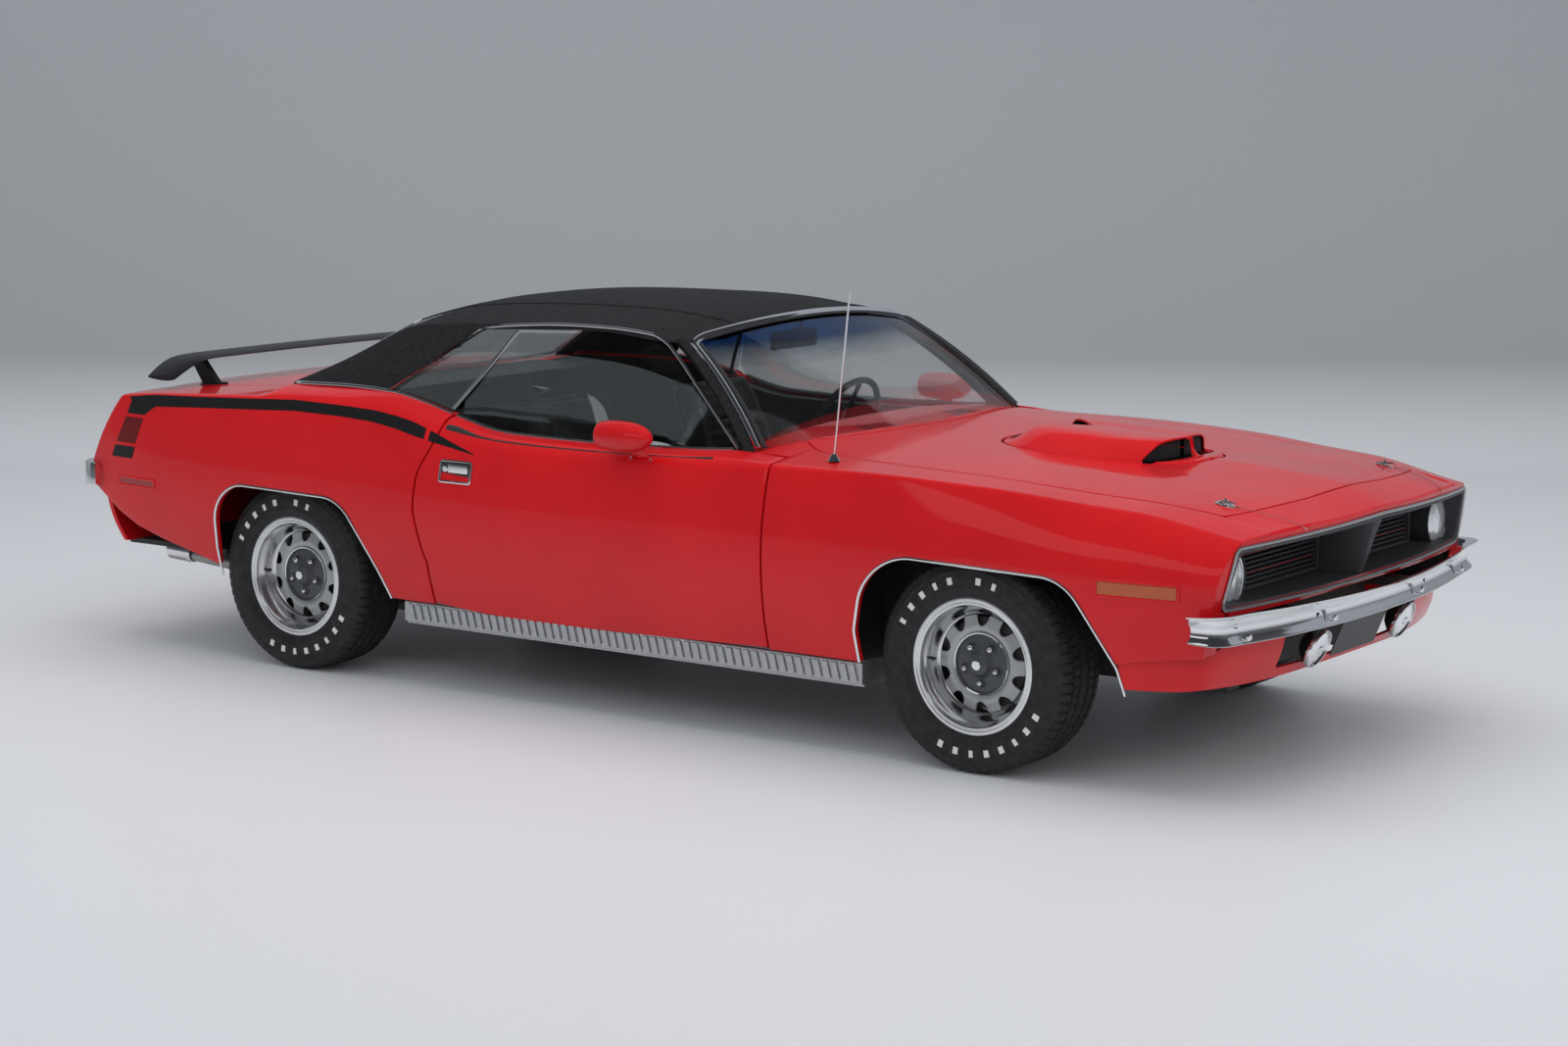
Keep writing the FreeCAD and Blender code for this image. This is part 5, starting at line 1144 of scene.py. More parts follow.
def bladeMesh(name, line, centreOf, height, profileOf, facing):
    # a blade along a plan line, thin at its ends; out is counted towards the car, so both
    # bumpers' sections stand the wrong way round
    verts, count = [], len(line)
    for i, (s, y) in enumerate(line):
        a, b = line[max(i - 1, 0)], line[min(i + 1, count - 1)]
        size = math.dist(a, b)
        nx, ny = facing * (b[1] - a[1]) / size, -facing * (b[0] - a[0]) / size
        end = min(i, count - 1 - i) / 5
        slim = min(1.0, 0.86 + 0.14 * math.sin(min(end, 1) * math.pi / 2))
        zc = centreOf(y)
        for out, t in profileOf(s, abs(y)):
            verts.append(place((s + nx * out, y + ny * out, zc + t * height / 2 * slim)))
    return outward(meshOf(name, verts, tubeFaces(count, len(verts) // count)))


def makeBumpers():
    line = bumperPath(frontFacts["bumper"])
    centre = frontFacts["bumperCentre"]
    front = bladeMesh("frontBumper", line, lambda y: centre + 10 * (y / 880) ** 4, frontFacts["bumperHeight"],
                      rolledProfile, 1)
    irons = [blockMesh("iron", (640, y - 30, 484), (878, y + 30, 514), 2) for y in (-350, 350)]
    plainOf("frontBumper", front, "chrome", "body", ("front_bumper",), 50)
    plainOf("frontIrons", joined("frontIrons", irons), "underbody", "body")
    rear = bladeMesh("rearBumper", bumperPath(rearFacts["bumper"]),
                     lambda y: rearFacts["bumperCentre"] + 10 * (y / 850) ** 2, rearFacts["bumperHeight"],
                     crownedProfile, -1)
    plainOf("rearBumper", rear, "chrome", "body", ("rear_bumper",), 40)
    bolts = []
    for y in (-744, -306, 306, 744):
        s = [a for a, b in line if abs(b - y) == min(abs(q - y) for _, q in line)][0]
        bolts.append(latheMesh("bolt", [(11, -2), (11, 2), (8, 5.0), (0, 6.5), (0, -2)],
                               (s + 12, y, centre - 22), (1, 0.26 * y / 744, -0.1), 32))
    plainOf("bumperBolts", joined("bumperBolts", bolts), "chrome", "body")


def mouthLine():
    high, low, top, foot = 745, 566, 790, 817
    return [tuple(p) for p in rounded([(0, high + 19), (top, high, 22), (foot, low, 28), (0, low - 9)], 6)]


def cheekMesh():
    # the red nose between the mouth and the fender's front edge
    verts, faces = [], []
    rows = spread(436, 728, 30)
    for back in (0, 5):
        for z in rows:
            s = noseEdge(z)
            edge = sideY(s, min(z, shoulderZ(s))) - 2.5
            inner = min(788 if z < 566 else 812 - 22 * (z - 566) / 180, edge - 3)
            for y in spread(inner, edge, 6):
                verts.append(place((noseStation(y, z) - 1.2 - back, y, z)))
    n, m = len(rows), len(rows) * 6
    for i in range(n - 1):
        for k in range(5):
            a = i * 6 + k
            faces += [(a, a + 1, a + 7, a + 6), (m + a, m + a + 6, m + a + 7, m + a + 1)]
        for a, b in ((i * 6, i * 6 + 6), (i * 6 + 11, i * 6 + 5)):
            faces.append((a, b, m + b, m + a))
    for a in range(5):
        b = m - 6 + a
        faces += [(a, m + a, m + a + 1, a + 1), (b, b + 1, m + b + 1, m + b)]
    return outward(meshOf("cheek", verts, faces))


def makeFront():
    half = mouthLine()
    loop = half + [(-y, z) for y, z in half[-2:0:-1]]
    dense = []
    for a, b in zip(loop, loop[1:] + loop[:1]):
        n = max(int(math.dist(a, b) / 20), 1)
        dense += [(a[0] + (b[0] - a[0]) * k / n, a[1] + (b[1] - a[1]) * k / n) for k in range(n)]
    path = [(noseStation(y, z) + 1, y, z) for y, z in dense]
    surround = sweepMesh("grilleSurround", path, trimSection(9, 6), (1, 0, 0), closed=True)
    plainOf("grilleSurround", surround, "silver_trim", "body")
    verts, faces = [], []
    n = len(dense)
    stations = (-1.0, 0.0, 0.12, 0.4, 0.75, 1.0)
    for out in (0, 3):
        for u in stations:
            deep = max(u, 0)
            wide, tall = (1.0, 1.0) if u < 0 else (0.976 - 0.03 * u, 0.84 - 0.03 * u)
            for y, z in dense:
                s = (noseStation(y, z) + 2.6 - out) * (1 - deep) + 668 * deep
                verts.append(place((s, y * (wide + out / 800), 656 + (z - 656) * (tall + out / 90))))
    m = len(stations)
    for side in (0, 1):
        for i in range(m - 1):
            for k in range(n):
                j = (k + 1) % n
                a, b = (side * m + i) * n, (side * m + i + 1) * n
                faces.append((a + k, a + j, b + j, b + k))
    for i in (0, m - 1):
        for k in range(n):
            j = (k + 1) % n
            faces.append((i * n + k, i * n + j, (m + i) * n + j, (m + i) * n + k))
    cavity = outward(meshOf("cavity", verts, faces))
    verts = []
    for s, z, wide in frontFacts["fin"]:
        outline = ((674, -0.8), (s - 22, -0.5), (s - 4, -0.3), (s, 0), (s - 4, 0.3), (s - 22, 0.5), (674, 0.8))
        verts += [place((a, wide * share, z)) for a, share in outline]
    finMesh = outward(meshOf("fin", verts, tubeFaces(len(frontFacts["fin"]), 7)))
    inserts, lines = [], []
    for side in (1, -1):
        y0, y1 = sorted((side * frontFacts["insetFrom"], side * frontFacts["insetTo"]))
        inserts.append(blockMesh("back", (668, y0, 590), (676, y1, 726), 1))
        for i in range(9):
            z = 600 + i * 14.2
            inserts.append(blockMesh("slat", (676, y0 + 6, z - 3.4), (712, y1 - 6, z + 3.4), 1.4))
        for y in (y0, y1):
            inserts.append(blockMesh("post", (674, y - 5, 586), (722, y + 5, 730), 2))
        for z in (586, 730):
            inserts.append(blockMesh("rail", (674, y0 - 5, z - 5), (722, y1 + 5, z + 5), 2))
        for z in (628.4, 685.2):
            lines.append(blockMesh("line", (711, y0 + 8, z - 0.8), (712.6, y1 - 8, z + 0.8), 0.3))
    cavity = joined("grilleCavity", [cavity, finMesh] + inserts)
    plainOf("grilleCavity", cavity, "grille_plastic", "body", ("grille",), 30)
    plainOf("grilleLines", joined("grilleLines", lines), "red_paint", "body")
    bothSides("noseCheek", cheekMesh(), "red_paint")
    s, y, z = frontFacts["lamp"]
    r = frontFacts["lampRadius"]
    bowl = latheMesh("bowl", [(r - 1, -8), (r - 1, -1), (r - 3, 1), (r - 6, -4), (r - 12, -60), (r - 12, -98),
                              (r - 4, -98)], (s, y, z), (1, 0, 0), 96)
    bothSides("lampBowl", bowl, "grille_plastic")
    rim = latheMesh("rim", [(r - 6, -20), (r - 5, -8), (r - 9, -3), (r - 14, -4), (r - 16, -10), (r - 16, -22)],
                    (s, y, z), (1, 0, 0), 96)
    bothSides("lampRim", rim, "chrome")
    dome = [(r - 15, -16)] + [((r - 15) * math.cos(a), -16 + 17 * math.sin(a)) for a in spread(0.1, math.pi / 2, 10)]
    glass = latheMesh("glass", dome + [(0, -22), (r - 15, -22)], (s, y, z), (1, 0, 0), 96)
    bothSides("headlamp", glass, "lamp_glass", replaced=(("headlamps",), ()))


# scoop, hood pins and their cables

scoopFacts = {"station": -20, "length": 350, "width": 250, "wall": 6.0,
              "upperLip": ((9, 236), (60, 233), (120, 224), (170, 210), (205, 192)),
              "lowerLip": ((9, 276), (60, 273), (120, 262), (170, 243), (205, 216)),
              "outlet": ((-95, 0), (-263, 145), (-318, 128), (-352, 84), (-366, 0))}
scoopRise = curve((-20, -14), (0, -2), (5, 3), (18, 14), (46, 38), (74, 55), (106, 62), (150, 64), (300, 64))
upperLip = curve(*scoopFacts["upperLip"])
lowerLip = curve(*scoopFacts["lowerLip"])


def scoopRing(grow, count=96):
    ring = []
    for c, s in circle(count):
        reach = (abs(c) ** 2.6 + abs(s) ** 2.6) ** (-1 / 2.6)
        ring.append((scoopFacts["station"] + (scoopFacts["length"] + grow) * c * reach,
                     (scoopFacts["width"] + grow) * s * reach * (1 - 0.07 * c)))
    return ring


def scoopTop(s, y):
    a = (s - scoopFacts["station"]) / scoopFacts["length"]
    b = abs(y) / scoopFacts["width"] / (1 - 0.07 * a)
    q = (abs(a) ** 2.6 + b ** 2.6) ** (1 / 2.6)
    steep = 1 + 0.7 * min(max((s - 20) / 150, 0), 1)
    high = scoopRise((1 - q) * 250 * steep) - 3 * max(1 - abs(y) / 60, 0)
    front = (upperLip(abs(y)) + lowerLip(abs(y))) / 2 if abs(y) < 206 else 215
    if abs(y) < 9:
        t = min(max((s - 232) / 46, 0), 1)
        high = high * (1 - t) + 5 * t
    elif s > front:
        high = min(high, 5)
    if s < -240:
        low = min(max((-240 - s) / 80, 0), 1) * max(1 - b, 0)
        high = high * (1 - low)
    return topZ(s, y) + high


def makeScoop():
    def topAt(s, y):
        return Vector((rowX(s), y * mm, scoopTop(s, y) * mm))

    def floorAt(s, y):
        return Vector((rowX(s), y * mm, (topZ(s, y) - 9) * mm))

    loops = [scoopRing(0)]
    for side in (1, -1):
        ys = spread(10, 205, 22)
        mouth = [(upperLip(y), side * y) for y in ys]
        mouth += [(204, side * 213)] + [(lowerLip(y), side * y) for y in ys[::-1]]
        loops.append(mouth)
    half = [(p.x, p.y) for p in smoothLine([(s, y, 0) for s, y in scoopFacts["outlet"]], 10)]
    loops.append(half + [(s, -y) for s, y in half[-2:0:-1]])
    columns, rows = spread(-372, 332, 72), spread(-252, 252, 58)
    mesh = sheetMesh("scoopShell", loops, topAt, (0, 0, 1), columns, rows, scoopFacts["wall"], 2.2)
    plainOf("scoopShell", mesh, "red_paint", "body", ("scoop",), 40)
    floor = sheetMesh("scoopFloor", [scoopRing(-12)], floorAt, (0, 0, 1), spread(-372, 332, 20),
                      spread(-252, 252, 16), 14)
    cleaner = latheMesh("cleaner", [(0, 690), (198, 690), (204, 696), (204, 712), (200, 716), (204, 720), (204, 792),
                                    (198, 800), (150, 806), (60, 850), (0, 852)], (-20, 0, 0), (0, 0, 1), 96,
                        closed=False)
    plainOf("scoopInside", joined("scoopInside", [floor, cleaner]), "satin_black", "body")
    bars = []
    for side in (1, -1):
        for y in spread(16, 196, 24):
            s = upperLip(y) - 15
            z0, z1 = topZ(s, y) - 2, scoopTop(s, y) - 6
            high = (s + 1.2, side * y + 1.2, max(z1, z0 + 5))
            bars.append(blockMesh("bar", (s - 1.2, side * y - 1.2, z0), high, 0.5))
        for k in range(1, 6):
            path = [(upperLip(y) - 15, side * y, topZ(190, y) + 8 * k) for y in spread(14, 192 - 9 * k, 10)]
            bars.append(sweepMesh("wire", path, circleSection(1.2, 6)))
    for s in spread(-345, -130, 18):
        wide = 140 * min(max((-s - 95) / 168, 0.1), 1) if s > -263 else 140 - 56 * (-s - 263) / 90
        path = [(s, y, topZ(s, y) + 6) for y in spread(-wide, wide, 6)]
        bars.append(sweepMesh("wire", path, circleSection(1.2, 6)))
    plainOf("scoopMesh", joined("scoopMesh", bars), "grille_plastic", "body")


hoodPinFacts = {"place": (655, 543), "plate": (33, 19),
                "cable": ((700, 541, 4), (722, 539, 4), (775, 527, 3.5), (830, 508, 3.5), (862, 490, 3), (882, 476, -2),
                          (880, 466, -14))}


def makeHoodPins():
    s0, y0 = hoodPinFacts["place"]
    a, b = hoodPinFacts["plate"]
    for side, word in ((1, "Left"), (-1, "Right")):
        z0 = topZ(s0, y0)
        verts = []
        for size, high in ((1.0, 0.2), (1.0, 1.6), (0.94, 3.0), (0.7, 3.6), (0.62, 2.4), (0.2, 2.4)):
            for c, s in circle(40):
                u, v = s0 + a * size * c, y0 + b * size * s
                verts.append(place((u, side * v, topZ(u, v) + high)))
        plate = outward(meshOf("plate", verts, tubeFaces(6, 40)))
        post = latheMesh("post", [(0, 0), (6.5, 0), (6.5, 12), (5, 16), (2, 19), (0, 19.5)], (s0, side * y0, z0),
                         (0, 0, 1), 32, closed=False)
        loopLine = [(s0 - 24, -6, 10), (s0 - 12, -9, 10), (s0 + 8, -7, 10), (s0 + 26, -3, 9), (s0 + 34, 3, 8),
                    (s0 + 26, 8, 9), (s0 + 8, 5, 10), (s0 - 4, 0, 10), (s0 - 20, 3, 10)]
        path = smoothLine([(u, side * (y0 + v), z0 + w) for u, v, w in loopLine], 3)
        clip = sweepMesh("clip", path, circleSection(1.7, 8))
        ring = sweepMesh("ring", [(s0 + 40 + 7 * math.cos(t), side * y0 + 7 * math.sin(t), topZ(s0 + 40, y0) + 4)
                                  for t in spread(0, math.tau * 23 / 24, 24)], circleSection(1.2, 8), closed=True)
        plainOf("hoodPin" + word, joined("hoodPin", [plate, clip, ring]), "chrome", "hood")
        plainOf("hoodPost" + word, post, "chrome", "hood")
        points = [(u, side * v, topZ(u, v) + w) for u, v, w in hoodPinFacts["cable"]]
        line = bpy.data.curves.new("pinCable" + word, "CURVE")
        line.dimensions = "3D"
        line.bevel_depth = 1.0 * mm
        line.bevel_resolution = 3
        line.use_fill_caps = True
        spline = line.splines.new("NURBS")
        spline.points.add(len(points) - 1)
        for knot, p in zip(spline.points, points):
            knot.co = (*place(p), 1)
        spline.order_u = 3
        spline.use_endpoint_u = True
        cable = bpy.data.objects.new("pinCable" + word, line)
        bpy.context.scene.collection.objects.link(cable)
        line.materials.append(finishes["chrome"])
        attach(cable, "body")
        bare = line.copy()  # a bare copy is made into a mesh and thrown away
        bare.bevel_depth = 0
        probe = bpy.data.objects.new("probe", bare)
        mesh = bpy.data.meshes.new_from_object(probe)
        bpy.data.objects.remove(probe)
        bpy.data.curves.remove(bare)
        bpy.data.meshes.remove(mesh)


# mirrors, door cards, stripe ends

def makeMirrors():
    s, y, z = -1243, 938, 926
    profile = [(106, 0), (105, 6), (101, 13), (94, 21), (84, 29), (70, 37), (50, 43), (28, 47), (4, 49), (-24, 49.4),
               (-52, 48), (-76, 45.5), (-92, 42.5), (-95, 41), (-95, 38.6), (-92, 37.4), (-88, 37), (-88, 0)]
    head = latheMesh("head", [(r, h) for h, r in profile], (s, y, z), (1, 0, 0), 72, closed=False)
    rows = []
    for t in spread(0, 1, 8):
        wide = 30 - 6 * t + 14 * (1 - t) ** 3
        thick = 7 + 2 * t + 12 * (1 - t) ** 4
        cs = -1212 - 20 * t
        rows.append([(cs + wide * math.cos(a), 874 + 54 * t ** 0.8 + thick * math.sin(a), 853 + 50 * t)
                     for a in spread(0, math.tau * 31 / 32, 32)])
    foot = outward(meshOf("foot", [place(p) for row in rows for p in row], tubeFaces(8, 32)))
    pad = []
    for t, high in ((1.0, 0.0), (1.0, 2.4), (0.93, 4.0), (0.4, 4.6)):
        for c, d in circle(40):
            r = (abs(c) ** 3 + abs(d) ** 3) ** (-1 / 3)
            pad.append(skinPoint(-1208 + 54 * t * c * r, 858 + 12 * t * d * r, high))
    base = outward(meshOf("pad", pad, tubeFaces(4, 40)))
    bothSides("mirror", joined("mirror", [head, foot, base]), "red_paint", doors, sharp=35)
    glass = latheMesh("mirrorGlass", [(0, -85), (37, -85), (37, -88.6), (0, -89.4)], (s, y, z), (1, 0, 0), 64,
                      closed=False)
    screws = [latheMesh("screw", [(0, 0), (4.6, 0), (4, 2), (0, 2.6)], (a, sideY(a, 858) + 4, 858), (0, 1, 0.3), 20,
                        closed=False) for a in (-1246, -1170)]
    bothSides("mirrorGlass", joined("mirrorGlass", [glass] + screws), "chrome", doors)


def makeDoorCards():
    inset = 17.0
    low = [(s + inset, z) for s, z in doorRear if 320 < z < 850]
    loop = low + [(-723 - inset, 322), (-723 - inset, 780), (-940, 790), (-946, beltZ(-946) - 16)]
    loop += [(s, beltZ(s) - 16) for s in spread(-960, -1990, 26)] + [(-2028, beltZ(-2028) - 20)]

    def inner(s, z):
        return Vector((rowX(s), 0.745, z * mm))

    def outer(v, n):
        s, z = (v.x - frontAxle) / mm, v.z / mm
        return Vector((v.x, (sideY(s, min(z, shoulderZ(s) - 24)) - 19.0) * mm, v.z))

    card = sheetMesh("doorCard", [loop], inner, (0, -1, 0), spread(-2130, -720, 40), spread(300, 900, 24), 10, 3.0,
                     outer)
    for face in card.polygons:
        face.material_index = 0
    rest = blockMesh("rest", (-1880, 712, 600), (-1420, 746, 652), 12)
    pull = blockMesh("pull", (-1380, 728, 640), (-1240, 746, 662), 7)
    pleats = [blockMesh("pleat", (-1950 + 42 * i, 741, 400), (-1912 + 42 * i, 747, 580), 3) for i in range(26)]
    bothSides("doorCard", joined("doorCard", [card, rest] + pleats), "seat_vinyl", doors, sharp=40)
    crank = latheMesh("crank", [(0, 0), (22, 0), (20, 9), (9, 14), (0, 14)], (-1290, 745, 560), (0, -1, 0), 40,
                      closed=False)
    arm = sweepMesh("arm", [(-1290, 731, 560), (-1340, 724, 540), (-1392, 722, 528)], circleSection(5, 12))
    bothSides("doorFittings", joined("doorFittings", [crank, arm, pull]), "chrome", doors)
    line = [(s, beltY(s) - 9, beltZ(s) - 3) for s in spread(-2015, -975, 30)]
    bothSides("beltStrip", sweepMesh("beltStrip", line, trimSection(20, 6), (0, -0.3, 1)), "cabin_plastic", doors)
    line = [(s, beltY(s) - 28, beltZ(s) - 3) for s in spread(-2075, -2700, 24)]
    bothSides("quarterStrip", sweepMesh("quarterStrip", line, trimSection(16, 8), (0, -0.3, 1)), "cabin_plastic")


def makeStripeEnds():
    def lineAt(z, share):
        a, b = -3541 - (829 - z) * 0.50, -3440 - (829 - z) * 0.36
        return a + (b - a) * share

    def bar(z0, z1, a, b, rows):
        verts = [skinPoint(lineAt(z, u), z, 0.7) for z in spread(z1, z0, rows) for u in spread(a, b, 10)]
        return solidified(meshOf("bar", verts, gridFaces(rows, 10)), 0.7 * mm)

    pieces = [bar(680, 722, 0.0, 1.0, 5)]
    for i in range(9):
        u = 0.02 + i * 0.109
        pieces.append(bar(734, 826, u, u + 0.074, 8))
    bothSides("stripeEnd", joined("stripeEnd", pieces), "satin_black")
    # the stripe's own hooked end comes down to the slatted block
    verts = []
    for z in spread(838, 900, 8):
        for u in spread(0, 1, 10):
            t = (z - 838) / 62
            s = lineAt(838, 0) + (lineAt(838, 1) - lineAt(838, 0)) * u
            verts.append(skinPoint(s + 20 * t + 22 * t * t * u, z, 0.7))
    bothSides("stripeHook", solidified(meshOf("hook", verts, gridFaces(8, 10)), 0.7 * mm), "satin_black")


# glass surrounds, roof seams and the sail's foot moulding

def windshieldBase(u):
    return Vector((-695 - 158 * u * u, 788 * u, 933 - 33 * u * u))


def windshieldHead(u):
    return Vector((-1179 - 50 * u * u, 627 * u, 1261 - 54 * u * u))


def windshieldPoint(u, v, proud):
    out = 80 * v * (1 - v) + proud
    return windshieldBase(u).lerp(windshieldHead(u), v) + Vector((0.55 * out, 0, 0.83 * out))


def backlightPoint(u, v, proud):
    low = Vector((-2868 + 60 * u * u, 640 * u, 964 + 14 * u * u))
    high = Vector((-2424 + 6 * u * u, 560 * u, 1246 - 42 * u * u))
    out = 40 * v * (1 - v) + proud
    return low.lerp(high, v) + Vector((-0.55 * out, 0, 0.83 * out))


def topSurface(name):
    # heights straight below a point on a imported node
    mesh = nodes[name].data
    tree = BVHTree.FromPolygons([v.co for v in mesh.vertices], [tuple(p.vertices) for p in mesh.polygons])

    def height(s, y):
        hit = tree.ray_cast(Vector((rowX(s), y * mm, 2.0)), Vector((0, 0, -1)))[0]
        return None if hit is None else hit.z / mm
    return height


def makeGlassTrim():
    out = (0.55, 0, 0.83)
    side = [windshieldPoint(0.985, v, 2.5) for v in spread(0.0, 0.93, 18)]
    corner = [windshieldPoint(0.965, 0.965, 3), windshieldPoint(0.92, 0.985, 3)]
    half = side + corner + [windshieldPoint(u, 0.992, 3) for u in spread(0.88, 0.0, 14)]
    loop = half + [Vector((p.x, -p.y, p.z)) for p in half[-2::-1]]
    trim = sweepMesh("windshieldTrim", loop, trimSection(22, 7), out)
    plainOf("windshieldTrim", trim, "chrome", "body")
    dark = []
    for u0 in (1, -1):
        path = [windshieldPoint(0.952 * u0, v, 0.5) for v in spread(0.0, 0.96, 16)]
        dark.append(sweepMesh("rubber", path, trimSection(20, 4), out))
    path = [windshieldPoint(u, 0.968, 0.5) for u in spread(-0.93, 0.93, 24)]
    dark.append(sweepMesh("rubber", path, trimSection(14, 4), out))
    plainOf("windshieldRubber", joined("windshieldRubber", dark), "cabin_plastic", "body")
    side = [backlightPoint(1.0, v, 3) for v in spread(0.06, 0.92, 12)]
    half = ([backlightPoint(u, 0.0, 3) for u in spread(0.0, 0.94, 12)] + [backlightPoint(0.99, 0.02, 3)] + side
            + [backlightPoint(0.98, 0.97, 3)] + [backlightPoint(u, 0.995, 3) for u in spread(0.92, 0.0, 12)])
    loop = half + [Vector((p.x, -p.y, p.z)) for p in half[-2:0:-1]]
    trim = sweepMesh("backlightTrim", loop, trimSection(15, 5), (-0.55, 0, 0.83), closed=True)
    plainOf("backlightTrim", trim, "chrome", "body")
    foot = [(-2352, 806, 988), (-2420, 804, 991), (-2540, 800, 993), (-2680, 795, 990), (-2770, 789, 987),
            (-2806, 776, 985), (-2822, 740, 984), (-2836, 690, 980), (-2850, 650, 974)]
    trim = sweepMesh("sailMoulding", smoothLine(foot, 10), trimSection(12, 5), (0, 0.75, 0.65))
    bothSides("sailMoulding", trim, "chrome")
    roofAt = topSurface("roof")
    seams = []
    for y0 in (375, -375):
        path = []
        for s in spread(-1200, -2404, 64):
            y = y0 * (1.0 + 0.05 * (s + 1200) / -1200)
            z = roofAt(s, y)
            if z and z > 1100:
                path.append((s, y, z))
        seams.append(sweepMesh("seam", path, trimSection(11, 2.4), (0, 0, 1)))
        for off in (-7.5, 7.5):
            seams.append(sweepMesh("stitch", [(a, b + off, c) for a, b, c in path], trimSection(1.6, 1.2), (0, 0, 1)))
    plainOf("roofSeams", joined("roofSeams", seams), "black_vinyl", "body")


# road lamps, vent slots painted as dark blocks for their shade, wing feet, sill screws, small tail pieces

def tiltedPart(mesh, centre, angle):
    turn = Matrix.Translation(place(centre)) @ Matrix.Rotation(math.radians(angle), 4, "Y")
    mesh.transform(turn @ Matrix.Translation(-place((0, 0, 0))))
    return mesh


def makeRoadLamps():
    r = 63.5
    centre = (851, 297, 386)
    zero = (0, 0, 0)
    shell = latheMesh("shell", [(0, -62), (r - 48, -61), (r - 30, -53), (r - 13, -35), (r - 4, -18), (r - 1.5, -15),
                                (r - 4, -12), (r - 8, -12)], zero, (1, 0, 0), 72, closed=False)
    rim = latheMesh("rim", [(r - 7, -15), (r - 0.5, -14), (r, -8), (r - 1, -2), (r - 3.5, 0.6), (r - 6, 0),
                            (r - 7.5, -4), (r - 9, -7)], zero, (1, 0, 0), 96)
    dome = [(r - 8, -9)] + [((r - 8) * math.cos(a), -9 + 11 * math.sin(a)) for a in spread(0.12, math.pi / 2, 8)]
    glass = latheMesh("glass", dome + [(0, -13), (r - 8, -13)], zero, (1, 0, 0), 96, closed=True)
    bulb = latheMesh("bulb", [(0, 2.5), (13, 1.2), (13, 3.4), (11, 5), (0, 6)], zero, (1, 0, 0), 40, closed=False)
    stay = blockMesh("stay", (846, 288, 428), (862, 342, 472), 3)
    parts = [tiltedPart(m, centre, 22) for m in (shell, rim, glass, bulb)]
    bothSides("roadLampShell", joined("shell", [parts[0], stay]), "satin_black", replaced=(("road_lamps",), ()))
    bothSides("roadLampRim", joined("rim", [parts[1], parts[3]]), "chrome")
    bothSides("roadLampLens", parts[2], "lamp_glass")


def makeSmallPieces():
    # the cowl's vent slots are not cut: satin black blocks on the cowl top paint the shade inside the openings
    ventShades = []
    for side in (1, -1):
        for i in range(11):
            for k in range(5):
                s, y = -716 - 13 * k - 0.00022 * (180 + i * 15) ** 2, 180 + i * 15
                z = topZ(s, y)
                ventShades.append(blockMesh("slot", (s - 3, side * y - 4.5, z - 1), (s + 3, side * y + 4.5, z + 0.8),
                                         0.7))
    plainOf("cowlVentShades", joined("cowlVentShades", ventShades), "satin_black", "body")
    feet = []
    for side in (1, -1):
        s, y = -3397, side * 590
        verts = []
        for t, high in ((1.0, 0.0), (1.0, 4.0), (0.9, 7.0), (0.5, 8.0)):
            for a, b in circle(48):
                u, v = s + 66 * t * a, y + 27 * t * b
                verts.append(place((u, v, topZ(u, v) + high)))
        feet.append(outward(meshOf("foot", verts, tubeFaces(4, 48))))
    plainOf("wingFeet", joined("wingFeet", feet), "satin_black", "deck")
    screws = []
    for s in spread(-2185, -415, 12):
        for z in (243, 291):
            screws.append(latheMesh("screw", [(0, 0), (5, 0), (4.4, 2), (0, 2.8)], (s, 884, z), (0, 1, 0), 16,
                                    closed=False))
    bothSides("sillScrews", joined("sillScrews", screws), "chrome")
    z0, z1, y0, y1 = 702, 796, 300, 788  # the tail lamp's surround
    line = rounded([(y0 + 40, z0), (y1, z0 + 6, 14), (y1 - 20, z1 - 6, 14), (y0, z1, 10), (y0, z0, 10),
                    (y0 + 40, z0)], 4)
    path = [(-3640 - (800 - z) * 0.42 + 46 * (y / 860) ** 2 - 2, y, z) for y, z in line[:-1]]
    bezel = sweepMesh("bezel", path, trimSection(9, 4), (-1, 0, 0), closed=True)
    bothSides("tailLampBezel", joined("bezels", [bezel]), "chrome")
    tip = latheMesh("tip", [(35, 0), (36, 2), (36, 118), (34, 120), (31.5, 118), (31.5, 10), (31.5, 0)],
                    (-3668, 440, 264), (-1, 0, 0.05), 64)
    bothSides("exhaustTip", joined("tips", [tip]), "chrome")
    lock = latheMesh("lock", [(0, 0), (17, 0), (17, 3), (13, 6), (0, 7)], (-3686, 0, 760), (-1, 0, 0.3), 40,
                     closed=False)
    plainOf("deckLock", lock, "chrome", "body")


# cabin

